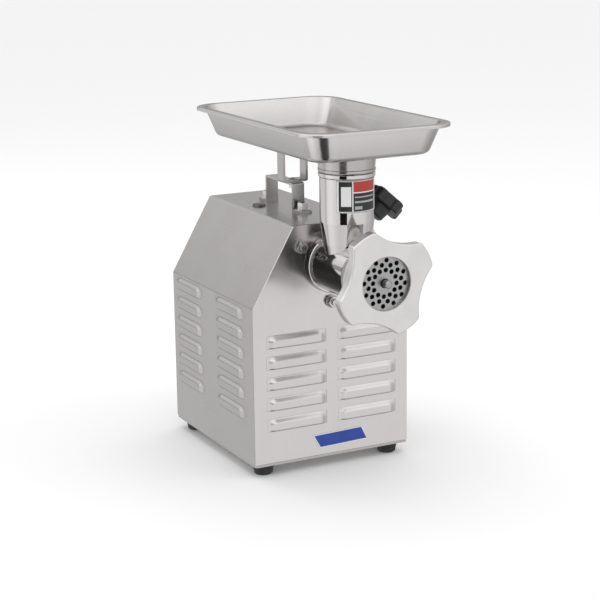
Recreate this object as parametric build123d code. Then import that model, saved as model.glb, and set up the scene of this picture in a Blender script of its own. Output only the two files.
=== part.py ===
from build123d import *
import math
import os

# Electric meat grinder, size 12.  Millimetres, +Z up, the head points towards -Y.
# The model is drawn from the outer face of the front panel (y = 0) and from the floor (z = 0),
# and is moved along Y as it is written, so that the origin is under the middle of the whole object.

# ---- Housing ---------------------------------------------------------------------------------
width = 210.0                # housing, over the flat of the side panels
depth = 240.0                # housing, front panel to rear panel
shoulder_height = 210.0      # floor to the bend where the sides lean in
top_height = 305.0           # floor to the top sheet
top_width = 100.0            # flat part of the top sheet
sheet = 1.5                  # stainless sheet of the housing
bend_radius = 4.0            # outside radius of the bends of the wrap
flange = 12.0                # turned-in edge of the front and rear panels
flange_gap = 0.2             # between a turned-in edge and the wrap around it
base_thickness = 3.0
foot_height = 14.0
foot_top_radius = 13.5
foot_bottom_radius = 11.3
foot_inset_x = 19.0          # foot centre from the side of the housing
foot_inset_y = 19.0          # foot centre from the front and rear of the housing
head_recess = 8.0            # depth of the pocket for the foot's screw
screw_hole = 3.3             # radius of the holes for the 6 mm screws
small_bolt = 3.0             # radius of the 6 mm screws
small_flat = 10.0            # hexagon of the 6 mm nuts and bolts
small_nut = 5.0              # height of the 6 mm nuts

plug_x = -27.0
plug_y = 140.0
plug_neck = 6.0
plug_radius = 8.5
badge_height = 18.0
badge_above_base = 8.5
badge_thickness = 0.6

# ---- Louvres ---------------------------------------------------------------------------------
louvre_height = 16.0
louvre_hood_height = 11.5
louvre_hood_out = 4.6
louvre_step_out = 1.3
louvre_step_side = 4.5
front_margin_x = 17.0        # front and rear panels: louvre column to the edge of the panel
front_gap_x = 16.0           # front and rear panels: between the two columns
front_first_z = 57.0
front_pitch_z = 25.7
front_free_top = 46.0        # plain height left under the shoulder
side_margin_front = 28.0
side_margin_rear = 12.0
side_gap_y = 44.0
side_first_z = 68.0
side_pitch_z = 24.7
side_free_top = 16.0

# ---- Grinding head ---------------------------------------------------------------------------
plate_reach = 129.0          # front panel to the outer face of the grinding plate
plate_radius = 35.0
plate_thickness = 8.0
plate_bore_radius = 5.5
plate_hole_radius = 2.75
plate_rings = ((15.3, 12, 0.0), (21.5, 12, 15.0), (26.7, 12, 0.0))   # radius, holes, turn
plate_turn = 85.0
plate_proud = 2.5            # the plate stands this far out of the barrel's mouth
knife_thickness = 10.0
barrel_radius = 33.0
barrel_wall = 6.0
mouth_wall = 4.5
mouth_length = 22.0
flare_length = 20.0
spigot_step = 3.1            # the spigot is this much smaller in radius than the barrel
spigot_length = 18.0
socket_fit = 0.1             # radial clearance of the spigot in its socket
running = 0.05               # radial clearance of every turning shaft
throat_tuck = 2.5            # how far the wide throat would reach over the socket's front face
throat_radius = 32.0
throat_wall = 3.0
throat_rim_out = 1.4
throat_rim_height = 6.0
throat_neck_in = 8.0         # the neck is this much smaller in radius than the throat
neck_above_socket = 22.5     # where the throat starts to narrow
waist_under_socket = 3.5     # where it has narrowed to its waist
waist_in = 3.2               # the waist is this much smaller in radius than the throat
throat_above_axis = 116.0    # mouth of the throat
ring_lobe_out = 15.0         # a lobe stands this far out of a scallop
ring_scallop_out = 2.5       # a scallop stands this far out of the hub
ring_lobe_half_angle = 15.0
ring_turn = 28.5
ring_lobes = 4
ring_corner = 6.0
ring_lip = 5.0
ring_lip_cover = 4.0         # the lip covers this much of the plate's edge
ring_plate_thickness = 14.0
ring_thickness = 24.0
ring_hub_wall = 5.2
thread_gap = 0.3
screw_gap = 1.2
screw_core = 11.0
screw_pitch = 30.0
flight_thickness = 5.0
pin_radius = 4.5
pin_out = 10.0
journal_radius = 13.0
key_width = 5.0
key_depth = 2.3
knife_square = 6.0
drive_square = 9.0
drive_length = 22.0

# ---- Socket of the head and its clamp knob ----------------------------------------------------
socket_rim = 2.5             # the socket is this much larger in radius than the barrel
socket_out = 11.0
socket_plate = 8.0
stud_out_of_socket = 12.0
stud_angles = (30.0, 150.0, 270.0)
stud_radius = 4.0
stud_out = 11.0
nut_flat = 13.0
nut_height = 6.5
knob_angle = 45.0            # above the horizontal, to the right
knob_y = -6.9
knob_radius = 27.0
knob_lobes = 5
knob_outer = 105.0           # outer face of the knob from the barrel's axis
knob_thickness = 15.0
knob_hub_radius = 12.0
knob_hub_length = 15.0
clamp_radius = 4.0
boss_radius = 6.5
boss_short = 8.0             # the boss ends this far inside the circle of the studs

# ---- Tray and its supports --------------------------------------------------------------------
tray_width = 196.0
tray_length = 327.0
tray_front = 134.8           # front panel to the front rim
tray_depth = 36.0
tray_sheet = 1.2
tray_corner = 36.0
tray_flange = 8.0
tray_taper = 13.0            # how far the wall leans in from the flange to the bottom
tray_bottom_radius = 9.0
rim_drop = 4.0
collar_out = 2.7
collar_gap = 0.5             # between the collar and the throat's mouth
sleeve_gap = 0.4
sleeve_depth = 16.0
sleeve_wall = 2.0
tray_bottom_above_throat = 23.0
strap_width = 16.0
strap = 3.0
strap_front_y = 84.0
strap_rear_y = 160.0
strap_rise = 35.0
strap_foot = 20.0
cradle_y = 99.0
cradle_width = 34.0
support_gap = 0.3

# ---- Gears and motor --------------------------------------------------------------------------
module = 1.5
output_teeth = 50
small_teeth = 18
big_teeth = 54
pressure_angle = 20.0
backlash = 0.12
case_wall = 2.5
case_bore = 43.0
case_room = 0.3              # between the gear case and the turned-in edge above it
front_gear_y = 24.0
front_gear_width = 14.0
rear_gear_y = 41.0
rear_gear_width = 12.0
socket_depth = 22.0          # rear end of the socket tube, behind the front panel
front_bearing_outer = 24.0
front_bearing_width = 9.5
drive_radius = 15.0          # front part of the output shaft
bearing_outer = 18.5
shaft_radius = 8.0          # rear part of the output shaft
small_bearing = 13.0
small_bearing_width = 7.0
middle_radius = 7.5
motor_shaft_radius = 7.0
case_depth = 58.0            # from the socket plate to the rear face
case_back = 7.0
case_over_motor = 14.0       # lower centre of the case's rounded outline, above the motor shaft
motor_radius = 58.0
motor_room = 36.5            # between the motor's fan and the rear panel
motor_shell = 3.0
cradle_from_front_bell = 22.0
cradle_from_rear_bell = 30.0
bell_length = 14.0
rotor_radius = 31.0
air_gap = 0.6
fan_radius = 46.0
fan_width = 12.0

# ---- Rear panel fittings ----------------------------------------------------------------------
switch_above_axis = -14.0
switch_width = 62.0
switch_height = 34.0
switch_body_depth = 26.0
bezel_depth = 3.0
button_radius = 9.0
button_out = 5.0
button_travel = 3.0
button_pitch = 26.0
gland_x = 70.0
gland_z = 38.0
gland_radius = 11.0
gland_out = 14.0
cord_radius = 4.5
capacitor_x = 78.0
capacitor_from_rear = 44.0
capacitor_z = 24.0
capacitor_radius = 17.0
capacitor_height = 70.0
clip_wall = 1.6
clip_gap = 0.1
terminal_x = -74.0
terminal_from_rear = 47.5
terminal_length = 45.0
terminal_width = 24.0
terminal_height = 16.0
terminal_pitch = 8.0

# ---- Sizes that follow from the above -----------------------------------------------------------
half_width = width / 2
base_top = foot_height + base_thickness
axis_z = top_height - 2 * sheet - flange_gap - case_room - case_bore - case_wall
middle_z = axis_z - module * (output_teeth + small_teeth) / 2
motor_z = middle_z - module * (big_teeth + small_teeth) / 2
capacitor_y = depth - capacitor_from_rear
terminal_y = depth - terminal_from_rear
throat_top = axis_z + throat_above_axis
tray_bottom = throat_top + tray_bottom_above_throat
tray_top = tray_bottom + tray_depth
tray_y = -tray_front + tray_length / 2
mouth_y = -(plate_reach - plate_proud)
chamber_y = -plate_reach + plate_thickness + knife_thickness + 1.0
spigot_radius = barrel_radius - spigot_step
barrel_bore = barrel_radius - barrel_wall
screw_radius = barrel_bore - screw_gap
socket_radius = barrel_radius + socket_rim
stud_circle = socket_radius + stud_out_of_socket
boss_end = stud_circle - boss_short
mouth_radius = plate_radius + mouth_wall
ring_lip_radius = plate_radius - ring_lip_cover
ring_hub_radius = mouth_radius + thread_gap + ring_hub_wall
ring_scallop_radius = ring_hub_radius + ring_scallop_out
ring_lobe_radius = ring_scallop_radius + ring_lobe_out
throat_rim_radius = throat_radius + throat_rim_out
throat_neck_radius = throat_radius - throat_neck_in
throat_waist_radius = throat_radius - waist_in
throat_y = throat_tuck - throat_radius - socket_out
neck_above_axis = socket_radius + neck_above_socket
waist_above_axis = socket_radius - waist_under_socket
collar_radius = throat_radius + collar_out
motor_front = sheet + socket_plate + case_depth
motor_length = depth - motor_front - 2 * bell_length - fan_width - motor_room
front_y = (plate_reach + pin_out - depth - gland_out) / 2


# ---- Small helpers ------------------------------------------------------------------------------
def block(x0, x1, y0, y1, z0, z1):
    """A box from its six sides."""
    return Pos((x0 + x1) / 2, (y0 + y1) / 2, (z0 + z1) / 2) * Box(x1 - x0, y1 - y0, z1 - z0)


def rod_y(radius, y0, y1, x=0.0, z=0.0):
    """A cylinder along Y."""
    return Pos(x, (y0 + y1) / 2, z) * Rot(-90, 0, 0) * Cylinder(radius, y1 - y0)


def rod_z(radius, z0, z1, x=0.0, y=0.0):
    """A cylinder along Z."""
    return Pos(x, y, (z0 + z1) / 2) * Cylinder(radius, z1 - z0)


def prism_y(outline, y0, y1):
    """Extrude a sketch of (x, z) along Y."""
    return extrude(Plane((0, y1, 0), x_dir=(1, 0, 0), z_dir=(0, -1, 0)) * outline, amount=y1 - y0)


def prism_x(outline, x0, x1):
    """Extrude a sketch of (y, z) along X."""
    return extrude(Plane((x0, 0, 0), x_dir=(0, 1, 0), z_dir=(1, 0, 0)) * outline, amount=x1 - x0)


def turned_y(profile, x=0.0, z=0.0):
    """A turned solid about a line along Y, from (radius, y) points."""
    return Pos(x, 0, z) * revolve(Polygon(*profile, align=None), Axis.Y)


def turned_z(profile, x=0.0, y=0.0):
    """A turned solid about a line along Z, from (radius, z) points."""
    return Pos(x, y, 0) * revolve(Plane.XZ * Polygon(*profile, align=None), Axis.Z)


def along_clamp(solid):
    """Turn a solid drawn along +Z from the barrel's axis to the direction of the clamp knob."""
    return Pos(0, knob_y, axis_z) * Rot(0, 90 - knob_angle, 0) * solid


def hex_along_y(flat, y0, y1, x, z):
    """A hexagonal bar along Y, from its width across the flats."""
    return prism_y(Pos(x, z) * RegularPolygon(flat / math.sqrt(3), 6), y0, y1)


def joined(solids):
    """Fuse a list of solids into one."""
    return solids[0].fuse(*solids[1:]) if len(solids) > 1 else solids[0]


# ---- Housing ------------------------------------------------------------------------------------
def section(inset):
    """Sketch of the housing's front outline, drawn in by an even inset."""
    lean = (half_width - top_width / 2) / (top_height - shoulder_height)
    slant = math.hypot(1.0, lean)
    shift = (slant - 1.0) / lean
    top_half = top_width / 2 - inset * (slant - lean)
    side_x = half_width - inset
    points = [
        (-side_x, base_top),
        (side_x, base_top),
        (side_x, shoulder_height - inset * shift),
        (top_half, top_height - inset),
        (-top_half, top_height - inset),
        (-side_x, shoulder_height - inset * shift),
    ]
    outline = Polygon(*points, align=None)
    upper = [v for v in outline.vertices() if v.Y > base_top + 1]
    return fillet(upper, max(bend_radius - inset, 0.8))


def louvre_rows(first, pitch, free_top):
    """Heights of the lower edges of one column of louvres."""
    count = int((shoulder_height - first - free_top) / pitch) + 1
    return [first + pitch * row for row in range(count)]


def louvre(length):
    """One louvre on a panel in the XZ plane, hood towards -Y: the added and the removed solid."""
    step = extrude(Pos(0, louvre_height / 2) * Rectangle(length, louvre_height), amount=louvre_step_out)
    corners = step.edges().filter_by(Axis.Z).sort_by(Axis.Y)[-2:]
    step = fillet(corners, louvre_height * 0.5)
    hood_length = length - 2 * louvre_step_side
    hood = extrude(Pos(0, louvre_hood_height / 2) * Rectangle(hood_length, louvre_hood_height),
                   amount=louvre_hood_out)
    corners = hood.edges().filter_by(Axis.Z).sort_by(Axis.Y)[-2:]
    hood = fillet(corners, louvre_hood_height * 0.4)
    rim = hood.faces().sort_by(Axis.Z)[-1].edges().sort_by(Axis.Y)[1:]
    hood = fillet(rim, 2.2)
    inner_length = hood_length - 2 * sheet
    inner_height = louvre_hood_height - 1.6 * sheet
    inner = Pos(0, inner_height / 2 - 0.5, (louvre_hood_out - sheet) / 2 - sheet / 2) * Box(
        inner_length, inner_height + 1.0, louvre_hood_out)
    inner = fillet(inner.edges().filter_by(Axis.Z).sort_by(Axis.Y)[-2:], 3.0)
    slit = Pos(0, -0.5, louvre_hood_out / 2) * Box(hood_length + 20, 1.0, louvre_hood_out)
    stand_up = Rot(90, 0, 0)
    return stand_up * (step + hood), stand_up * (inner - slit)


def with_louvres(panel, places, length):
    """Add louvres to a panel; a place is (x, y, z, turn about Z)."""
    added, removed = louvre(length)
    hoods = [Pos(x, y, z) * Rot(0, 0, turn) * added for x, y, z, turn in places]
    holes = [Pos(x, y, z) * Rot(0, 0, turn) * removed for x, y, z, turn in places]
    return panel.fuse(*hoods).cut(*holes)


def panel_places(y, turn):
    """Louvre places of the front or rear panel."""
    column = (front_gap_x + panel_louvre_length()) / 2
    rows = louvre_rows(front_first_z, front_pitch_z, front_free_top)
    return [(side * column, y, z, turn) for side in (-1, 1) for z in rows]


def panel_louvre_length():
    """Length of a louvre of the front and rear panels."""
    return (width - 2 * front_margin_x - front_gap_x) / 2


def side_louvre_length():
    """Length of a louvre of the side panels."""
    return (depth - side_margin_front - side_margin_rear - side_gap_y) / 2


def housing_wrap():
    """Bent sheet that makes both sides, both slopes and the top."""
    shell = prism_y(section(0), sheet, depth - sheet) - prism_y(section(sheet), 0, depth)
    shell -= block(-half_width + sheet, half_width - sheet, 0, depth, 0, base_top + 5)
    length = side_louvre_length()
    columns = (side_margin_front + length / 2, depth - side_margin_rear - length / 2)
    rows = louvre_rows(side_first_z, side_pitch_z, side_free_top)
    places = [(-half_width, y, z, -90) for y in columns for z in rows]
    places += [(half_width, y, z, 90) for y in columns for z in rows]
    shell = with_louvres(shell, places, length)
    holes = [rod_z(screw_hole, top_height - 5, top_height + 5, 0, y) for y in strap_bolt_places()]
    holes.append(rod_z(plug_neck, top_height - 5, top_height + 5, plug_x, plug_y))
    return shell.cut(*holes)


def panel_blank(y_outer, y_inner, direction):
    """A flat end panel with its edge turned in; direction is +1 for the front panel."""
    flat = prism_y(section(0), min(y_outer, y_inner), max(y_outer, y_inner))
    reach = y_inner + direction * flange
    low, high = sorted((y_inner, reach))
    rim = prism_y(section(sheet + flange_gap), low, high)
    rim -= prism_y(section(2 * sheet + flange_gap), low - 1, high + 1)
    rim -= block(-width, width, low - 1, high + 1, 0, base_top)
    return flat + rim


def front_panel():
    """Front sheet: louvres, the opening for the head's socket and the stud holes."""
    panel = panel_blank(0, sheet, 1)
    panel = with_louvres(panel, panel_places(0, 0), panel_louvre_length())
    holes = [rod_y(socket_radius + 0.3, -20, 20, 0, axis_z)]
    holes += [rod_y(stud_radius + 0.3, -20, 20, x, z) for x, z in stud_places()]
    return panel.cut(*holes)


def rear_panel():
    """Rear sheet: louvres, the switch opening, the gland hole and the screw holes."""
    panel = panel_blank(depth, depth - sheet, -1)
    panel = with_louvres(panel, panel_places(depth, 180), panel_louvre_length())
    z = axis_z + switch_above_axis
    opening = block(-switch_width / 2 + 4, switch_width / 2 - 4, depth - 5, depth + 5,
                    z - switch_height / 2 + 4, z + switch_height / 2 - 4)
    gland = rod_y(gland_radius - 3.0 + 0.2, depth - 5, depth + 5, gland_x, gland_z)
    return panel.cut(opening, gland)


def base_plate():
    """Floor of the housing, with cooling slots and the screw holes of the feet."""
    plate = block(-half_width, half_width, 0, depth, foot_height, base_top)
    plate = fillet(plate.edges().filter_by(Axis.Z), bend_radius)
    holes = [rod_z(screw_hole, 0, base_top + 5, x, y) for x, y in foot_places()]
    slots = [block(-30, 30, depth / 2 + 16 * k - 2.5, depth / 2 + 16 * k + 2.5, 0, base_top + 5)
             for k in (-3, -2, 2, 3)]
    return plate.cut(*holes, *slots)


def foot_places():
    """Centres of the four feet."""
    x = half_width - foot_inset_x
    return [(sx * x, y) for y in (foot_inset_y, depth - foot_inset_y) for sx in (-1, 1)]


def rubber_feet():
    """Four tapered feet, each with a recess for its screw."""
    feet = []
    for x, y in foot_places():
        foot = turned_z([(0, 0), (foot_bottom_radius - 1.5, 0), (foot_bottom_radius, 1.5),
                         (foot_top_radius, foot_height), (0, foot_height)], x, y)
        foot -= rod_z(6.0, -1, head_recess, x, y)
        feet.append(foot - rod_z(screw_hole, 0, foot_height + 1, x, y))
    return feet


def foot_screws():
    """Screws that hold the feet, pan head down."""
    top = base_top + 7
    return [turned_z([(0, head_recess - 3.2), (5.0, head_recess - 3.2), (5.4, head_recess - 1.5),
                      (5.4, head_recess), (2.9, head_recess), (2.9, top), (0, top)], x, y)
            for x, y in foot_places()]


def foot_nuts():
    """Hexagon nuts of the foot screws, on the base plate."""
    return [Pos(x, y, base_top) * extrude(RegularPolygon(small_flat / math.sqrt(3), 6), amount=small_nut)
            - rod_z(small_bolt, 0, base_top + 9, x, y) for x, y in foot_places()]


def hole_plug():
    """Flat plug that closes the service hole in the top sheet."""
    under = top_height - sheet
    return turned_z([(0, under - 3), (plug_neck + 0.6, under - 3), (plug_neck - 0.3, under),
                     (plug_neck - 0.3, top_height), (plug_radius, top_height),
                     (plug_radius - 0.9, top_height + 2.6),
                     (0, top_height + 3)], plug_x, plug_y)


def badge_plate():
    """Slanted name plate without a name, low on the front panel."""
    low = base_top + badge_above_base
    high = low + badge_height
    outline = Polygon((-18, low), (49, low + 2), (40, high + 2), (-28, high), align=None)
    return prism_y(outline, -badge_thickness, 0)


# ---- Top bracket ----------------------------------------------------------------------------------
def strap_bolt_places():
    """Distances of the two bracket bolts behind the front panel."""
    return (strap_front_y - strap_foot / 2 - 1, strap_rear_y + strap_foot / 2 + 1)


def bridge_strap():
    """Inverted U of flat bar along the top, with feet turned out to front and rear."""
    low = top_height
    high = top_height + strap_rise
    y0 = strap_front_y
    y1 = strap_rear_y
    outer = Polygon((y0 - strap_foot, low), (y0 + strap, low), (y0 + strap, high - strap),
                    (y1 - strap, high - strap), (y1 - strap, low), (y1 + strap_foot, low),
                    (y1 + strap_foot, low + strap), (y1, low + strap), (y1, high), (y0, high),
                    (y0, low + strap), (y0 - strap_foot, low + strap), align=None)
    bar = prism_x(outer, -strap_width / 2, strap_width / 2)
    bends = [e for e in bar.edges().filter_by(Axis.X)
             if e.center().Z > high - 1 and not y0 + 1 < e.center().Y < y1 - 1]
    bar = fillet(bends, 2.5)
    holes = [rod_z(screw_hole, low - 1, low + 9, 0, y) for y in strap_bolt_places()]
    holes.append(rod_z(screw_hole, high - 9, high + 9, 0, cradle_y))
    return bar.cut(*holes)


def tray_cradle():
    """Upright U of flat bar that carries the tray, across the bridge strap."""
    low = top_height + strap_rise
    high = tray_bottom - support_gap
    half = cradle_width / 2
    outer = Polygon((-half, low), (half, low), (half, high), (half - strap, high),
                    (half - strap, low + strap), (-half + strap, low + strap), (-half + strap, high),
                    (-half, high), align=None)
    bar = prism_y(outer, cradle_y - strap_width / 2, cradle_y + strap_width / 2)
    bends = [e for e in bar.edges().filter_by(Axis.Y) if e.center().Z < low + 0.5]
    bar = fillet(bends, 2.5)
    return bar - rod_z(screw_hole, low - 9, low + 9, 0, cradle_y)


def bolt_down(x, y, seat, length):
    """Hexagon bolt with its washer, standing on a seat and pointing down."""
    hexagon = Pos(x, y, seat + 1.6) * extrude(RegularPolygon(small_flat / math.sqrt(3), 6), amount=6.0)
    hexagon = hexagon & turned_z([(0, seat), (5.8, seat), (5.8, seat + 6.8), (4.8, seat + 7.6),
                                  (0, seat + 7.6)], x, y)
    washer = rod_z(8.0, seat, seat + 1.6, x, y)
    return joined([hexagon, washer, rod_z(small_bolt, seat - length, seat + 2, x, y)])


def bracket_bolts():
    """Bolts of the bridge strap's feet and of the cradle."""
    low = top_height + strap
    bolts = [bolt_down(0, y, low, strap + sheet + 8) for y in strap_bolt_places()]
    bolts.append(bolt_down(0, cradle_y, top_height + strap_rise + strap, 2 * strap + 6.5))
    return bolts


def bracket_nuts():
    """Nuts under the top sheet and under the bridge strap."""
    under = top_height - sheet
    nuts = []
    for y, seat in [(y, under) for y in strap_bolt_places()] + [
            (cradle_y, top_height + strap_rise - strap)]:
        hexagon = RegularPolygon(small_flat / math.sqrt(3), 6)
        nut = Pos(0, y, seat - small_nut) * extrude(hexagon, amount=small_nut)
        nuts.append(nut - rod_z(small_bolt, seat - 9, seat + 9, 0, y))
    return nuts


# ---- Socket, studs and clamp knob ---------------------------------------------------------------
def stud_places():
    """Centres (x, z) of the three studs around the socket."""
    return [(stud_circle * math.cos(math.radians(a)), axis_z + stud_circle * math.sin(math.radians(a)))
            for a in stud_angles]


def case_outline(radius):
    """Long rounded outline around the gears."""
    low = motor_z + case_over_motor
    outline = Pos(0, (axis_z + low) / 2) * SlotCenterToCenter(axis_z - low, 2 * radius, rotation=90)
    return outline


def head_socket():
    """Cast nose of the gearbox: plate behind the front panel, socket tube and clamp boss."""
    y0 = sheet
    y1 = sheet + socket_plate
    body = prism_y(case_outline(case_bore + case_wall), y0, y1)
    ears = [rod_y(9.5, y0, y1, x, z) for x, z in stud_places()]
    tube = rod_y(socket_radius, -socket_out, socket_depth, 0, axis_z)
    tube = chamfer(tube.faces().sort_by(Axis.Y)[0].edges(), 0.8)
    boss = along_clamp(rod_z(boss_radius, spigot_radius + 1, boss_end))
    seat = rod_y(small_bearing + 4, y0, y1 + 1 + small_bearing_width, 0, middle_z)
    body = joined([body, *ears, tube, boss, seat])
    deep = spigot_length - socket_out + 0.5
    bore = rod_y(spigot_radius + socket_fit, -socket_out - 20, deep, 0, axis_z)
    shaft = rod_y(drive_radius + 0.5, 0, socket_depth + 1, 0, axis_z)
    pocket = rod_y(front_bearing_outer, socket_depth - front_bearing_width, socket_depth + 1, 0, axis_z)
    small = rod_y(small_bearing, y1 + 1, y1 + 2 + small_bearing_width, 0, middle_z)
    over_barrel = rod_y(barrel_radius + 0.5, -socket_out - 20, -socket_out, 0, axis_z)
    clamp = along_clamp(rod_z(clamp_radius + running, 20, boss_end + 5))
    holes = [rod_y(stud_radius, y0 - 1, y1 + 1, x, z) for x, z in stud_places()]
    return body.cut(bore, shaft, pocket, small, over_barrel, clamp, *holes)


def socket_studs():
    """Three studs that stand out of the front panel."""
    return [rod_y(stud_radius, -stud_out, sheet + socket_plate, x, z) for x, z in stud_places()]


def socket_nuts():
    """Hexagon nuts with washers on the three studs."""
    nuts = []
    for x, z in stud_places():
        nut = hex_along_y(nut_flat, -1.5 - nut_height, -1.5, x, z)
        dome = turned_y([(0, -1.5), (nut_flat * 0.57, -1.5), (nut_flat * 0.57, -1.5 - nut_height + 0.8),
                         (nut_flat * 0.5, -1.5 - nut_height), (0, -1.5 - nut_height)], x, z)
        washer = rod_y(8.2, -1.5, 0, x, z)
        nuts.append(((nut & dome) + washer) - rod_y(stud_radius, -20, 5, x, z))
    return nuts


def clamp_stud():
    """Threaded rod of the clamp knob; its tip locks the barrel's spigot."""
    tip = spigot_radius + socket_fit + 0.2
    return along_clamp(rod_z(clamp_radius, tip, knob_outer - 5))


def clamp_knob():
    """Lobed plastic knob with a hub."""
    lobe = 8.5
    ring = knob_radius - lobe
    outline = Circle(ring + lobe / 2)
    for place in PolarLocations(ring, knob_lobes):
        outline += place * Circle(lobe)
    low = knob_outer - knob_thickness
    disc = Pos(0, 0, low) * extrude(outline, amount=knob_thickness)
    rims = [e for e in disc.edges() if abs(e.center().Z - low) < 0.01
            or abs(e.center().Z - knob_outer) < 0.01]
    disc = chamfer(rims, 1.5)
    hub = turned_z([(0, low - knob_hub_length), (knob_hub_radius - 2, low - knob_hub_length),
                    (knob_hub_radius, low - knob_hub_length + 2), (knob_hub_radius + 2, low + 1),
                    (0, low + 1)])
    crown = turned_z([(0, knob_outer - 1), (13, knob_outer - 1), (11, knob_outer + 2),
                      (0, knob_outer + 2)])
    knob = joined([disc, hub, crown]) - rod_z(clamp_radius, 0, knob_outer - 5)
    return along_clamp(knob)


# ---- Head -----------------------------------------------------------------------------------------
def flare_points():
    """Smooth outside of the barrel from its tube to its wide mouth, as (radius, y)."""
    start = mouth_y + mouth_length + flare_length
    points = []
    for k in range(9):
        share = k / 8
        blend = share * share * (3 - 2 * share)
        points.append((barrel_radius + (mouth_radius - barrel_radius) * blend,
                       start - flare_length * share))
    return points


def head_casting():
    """Barrel, throat, wide mouth and rear spigot in one casting."""
    rear = spigot_length - socket_out
    outer = [(0, rear), (spigot_radius - 1, rear), (spigot_radius, rear - 1),
             (spigot_radius, -socket_out), (barrel_radius - 0.8, -socket_out),
             (barrel_radius, -socket_out - 0.8), *flare_points(), (mouth_radius, mouth_y + 1),
             (mouth_radius - 1, mouth_y), (0, mouth_y)]
    neck = axis_z + neck_above_axis
    rim = throat_top - throat_rim_height
    throat = [(0, axis_z), (throat_neck_radius, axis_z), (throat_neck_radius, axis_z + 6),
              (throat_waist_radius, axis_z + waist_above_axis), (throat_radius, neck), (throat_radius, rim),
              (throat_rim_radius, rim + 1.4), (throat_rim_radius, throat_top - 0.8),
              (throat_rim_radius - 0.8, throat_top), (0, throat_top)]
    wall = throat_wall
    funnel = [(0, axis_z), (throat_neck_radius - wall, axis_z),
              (throat_neck_radius - wall, axis_z + 6),
              (throat_waist_radius - wall, axis_z + waist_above_axis), (throat_radius - wall, neck),
              (throat_radius - wall, throat_top + 1), (0, throat_top + 1)]
    body = turned_y(outer, 0, axis_z) + turned_z(throat, 0, throat_y)
    bore = [(0, mouth_y - 1), (plate_radius + 0.1, mouth_y - 1), (plate_radius + 0.1, chamber_y),
            (barrel_bore, chamber_y), (barrel_bore, rear - 14), (journal_radius + running, rear - 14),
            (journal_radius + running, rear + 1), (0, rear + 1)]
    body = body.cut(turned_y(bore, 0, axis_z), turned_z(funnel, 0, throat_y))
    return body - plate_key_solid(0.1)


def plate_key_solid(gap):
    """Key that stops the plate from turning; gap opens it into its keyway."""
    half = key_width / 2 + gap
    centre = axis_z - plate_radius
    return block(-half, half, mouth_y + 0.3 - gap, -plate_reach + plate_thickness,
                 centre - key_depth - gap, centre + key_depth + gap)


def plate_key():
    """Small key between the barrel's mouth and the grinding plate."""
    return plate_key_solid(0)


def throat_label():
    """Thin curved sticker on the front of the throat, without lettering."""
    low = axis_z + 72
    band = turned_z([(throat_radius, low), (throat_radius + 0.25, low), (throat_radius + 0.25, low + 38),
                     (throat_radius, low + 38)], 0, throat_y)
    reach = 60
    spread = reach * math.tan(math.radians(51))
    wedge = Polygon((0, 0), (-spread, -reach), (spread, -reach), align=None)
    return band & (Pos(0, throat_y, low - 1) * extrude(wedge, amount=60))


def grinding_plate():
    """Perforated plate in the mouth of the barrel."""
    disc = rod_y(plate_radius, -plate_reach, -plate_reach + plate_thickness, 0, axis_z)
    holes = [rod_y(plate_bore_radius, -plate_reach - 1, -plate_reach + plate_thickness + 1, 0, axis_z)]
    for ring, count, turn in plate_rings:
        for k in range(count):
            angle = math.radians(plate_turn + turn + 360 / count * k)
            holes.append(rod_y(plate_hole_radius, -plate_reach - 1, -plate_reach + plate_thickness + 1,
                               ring * math.cos(angle), axis_z + ring * math.sin(angle)))
    holes.append(plate_key_solid(0.1))
    return disc.cut(*holes)


def knife():
    """Four-bladed knife behind the grinding plate, on the square of the feed screw."""
    y0 = -plate_reach + plate_thickness + 0.3
    hub = rod_y(12, y0, y0 + knife_thickness, 0, axis_z)
    blades = [Pos(0, 0, axis_z) * Rot(0, 90 * k, 0) * block(6, 30, y0, y0 + 5, -4, 3) for k in range(4)]
    body = joined([hub, *blades])
    square = block(-knife_square, knife_square, y0 - 1, y0 + knife_thickness + 1,
                   axis_z - knife_square, axis_z + knife_square)
    return body - square


def feed_screw():
    """Worm with its flight, the knife square, the rear journal and the drive square."""
    y0 = -plate_reach + plate_thickness + 0.3
    y1 = y0 + knife_thickness + 0.4
    rear = spigot_length - socket_out
    flight_start = y1 + 2.0
    flight_end = rear - 14 - 3.0
    core = turned_y([(0, y1), (screw_core, y1), (screw_core + 3, flight_end),
                     (journal_radius, flight_end), (journal_radius, rear + 1.5),
                     (0, rear + 1.5)], 0, axis_z)
    square = block(-knife_square + 0.1, knife_square - 0.1, y0, y1 + 1,
                   axis_z - knife_square + 0.1, axis_z + knife_square - 0.1)
    drive = block(-drive_square, drive_square, rear + 1, rear + 1.5 + drive_length,
                  axis_z - drive_square, axis_z + drive_square)
    drive = drive & rod_y(drive_square * 1.3, rear, rear + 40, 0, axis_z)
    length = flight_end - flight_start
    path = Helix(screw_pitch, length - flight_thickness, screw_core)
    start = path @ 0
    profile = Plane((start.X, 0, 0), x_dir=(1, 0, 0), z_dir=(0, -1, 0)) * Polygon(
        (-2, -flight_thickness / 2), (screw_radius - screw_core, -flight_thickness / 2 + 1.2),
        (screw_radius - screw_core, flight_thickness / 2 - 1.2), (-2, flight_thickness / 2), align=None)
    flight = sweep(profile, path=path, is_frenet=True)
    flight = Pos(0, flight_start + flight_thickness / 2, axis_z) * Rot(-90, 0, 0) * flight
    body = joined([core, square, drive, flight])
    return body - rod_y(pin_radius, y0 - 1, y1 + 20, 0, axis_z)


def screw_pin():
    """Round pin that stands out of the feed screw and runs in the plate."""
    y0 = -plate_reach + plate_thickness + 0.3
    end = -plate_reach - pin_out
    return turned_y([(0, end), (pin_radius - 1.2, end), (pin_radius, end + 1.2), (pin_radius, y0 + 24),
                     (0, y0 + 24)], 0, axis_z)


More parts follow.
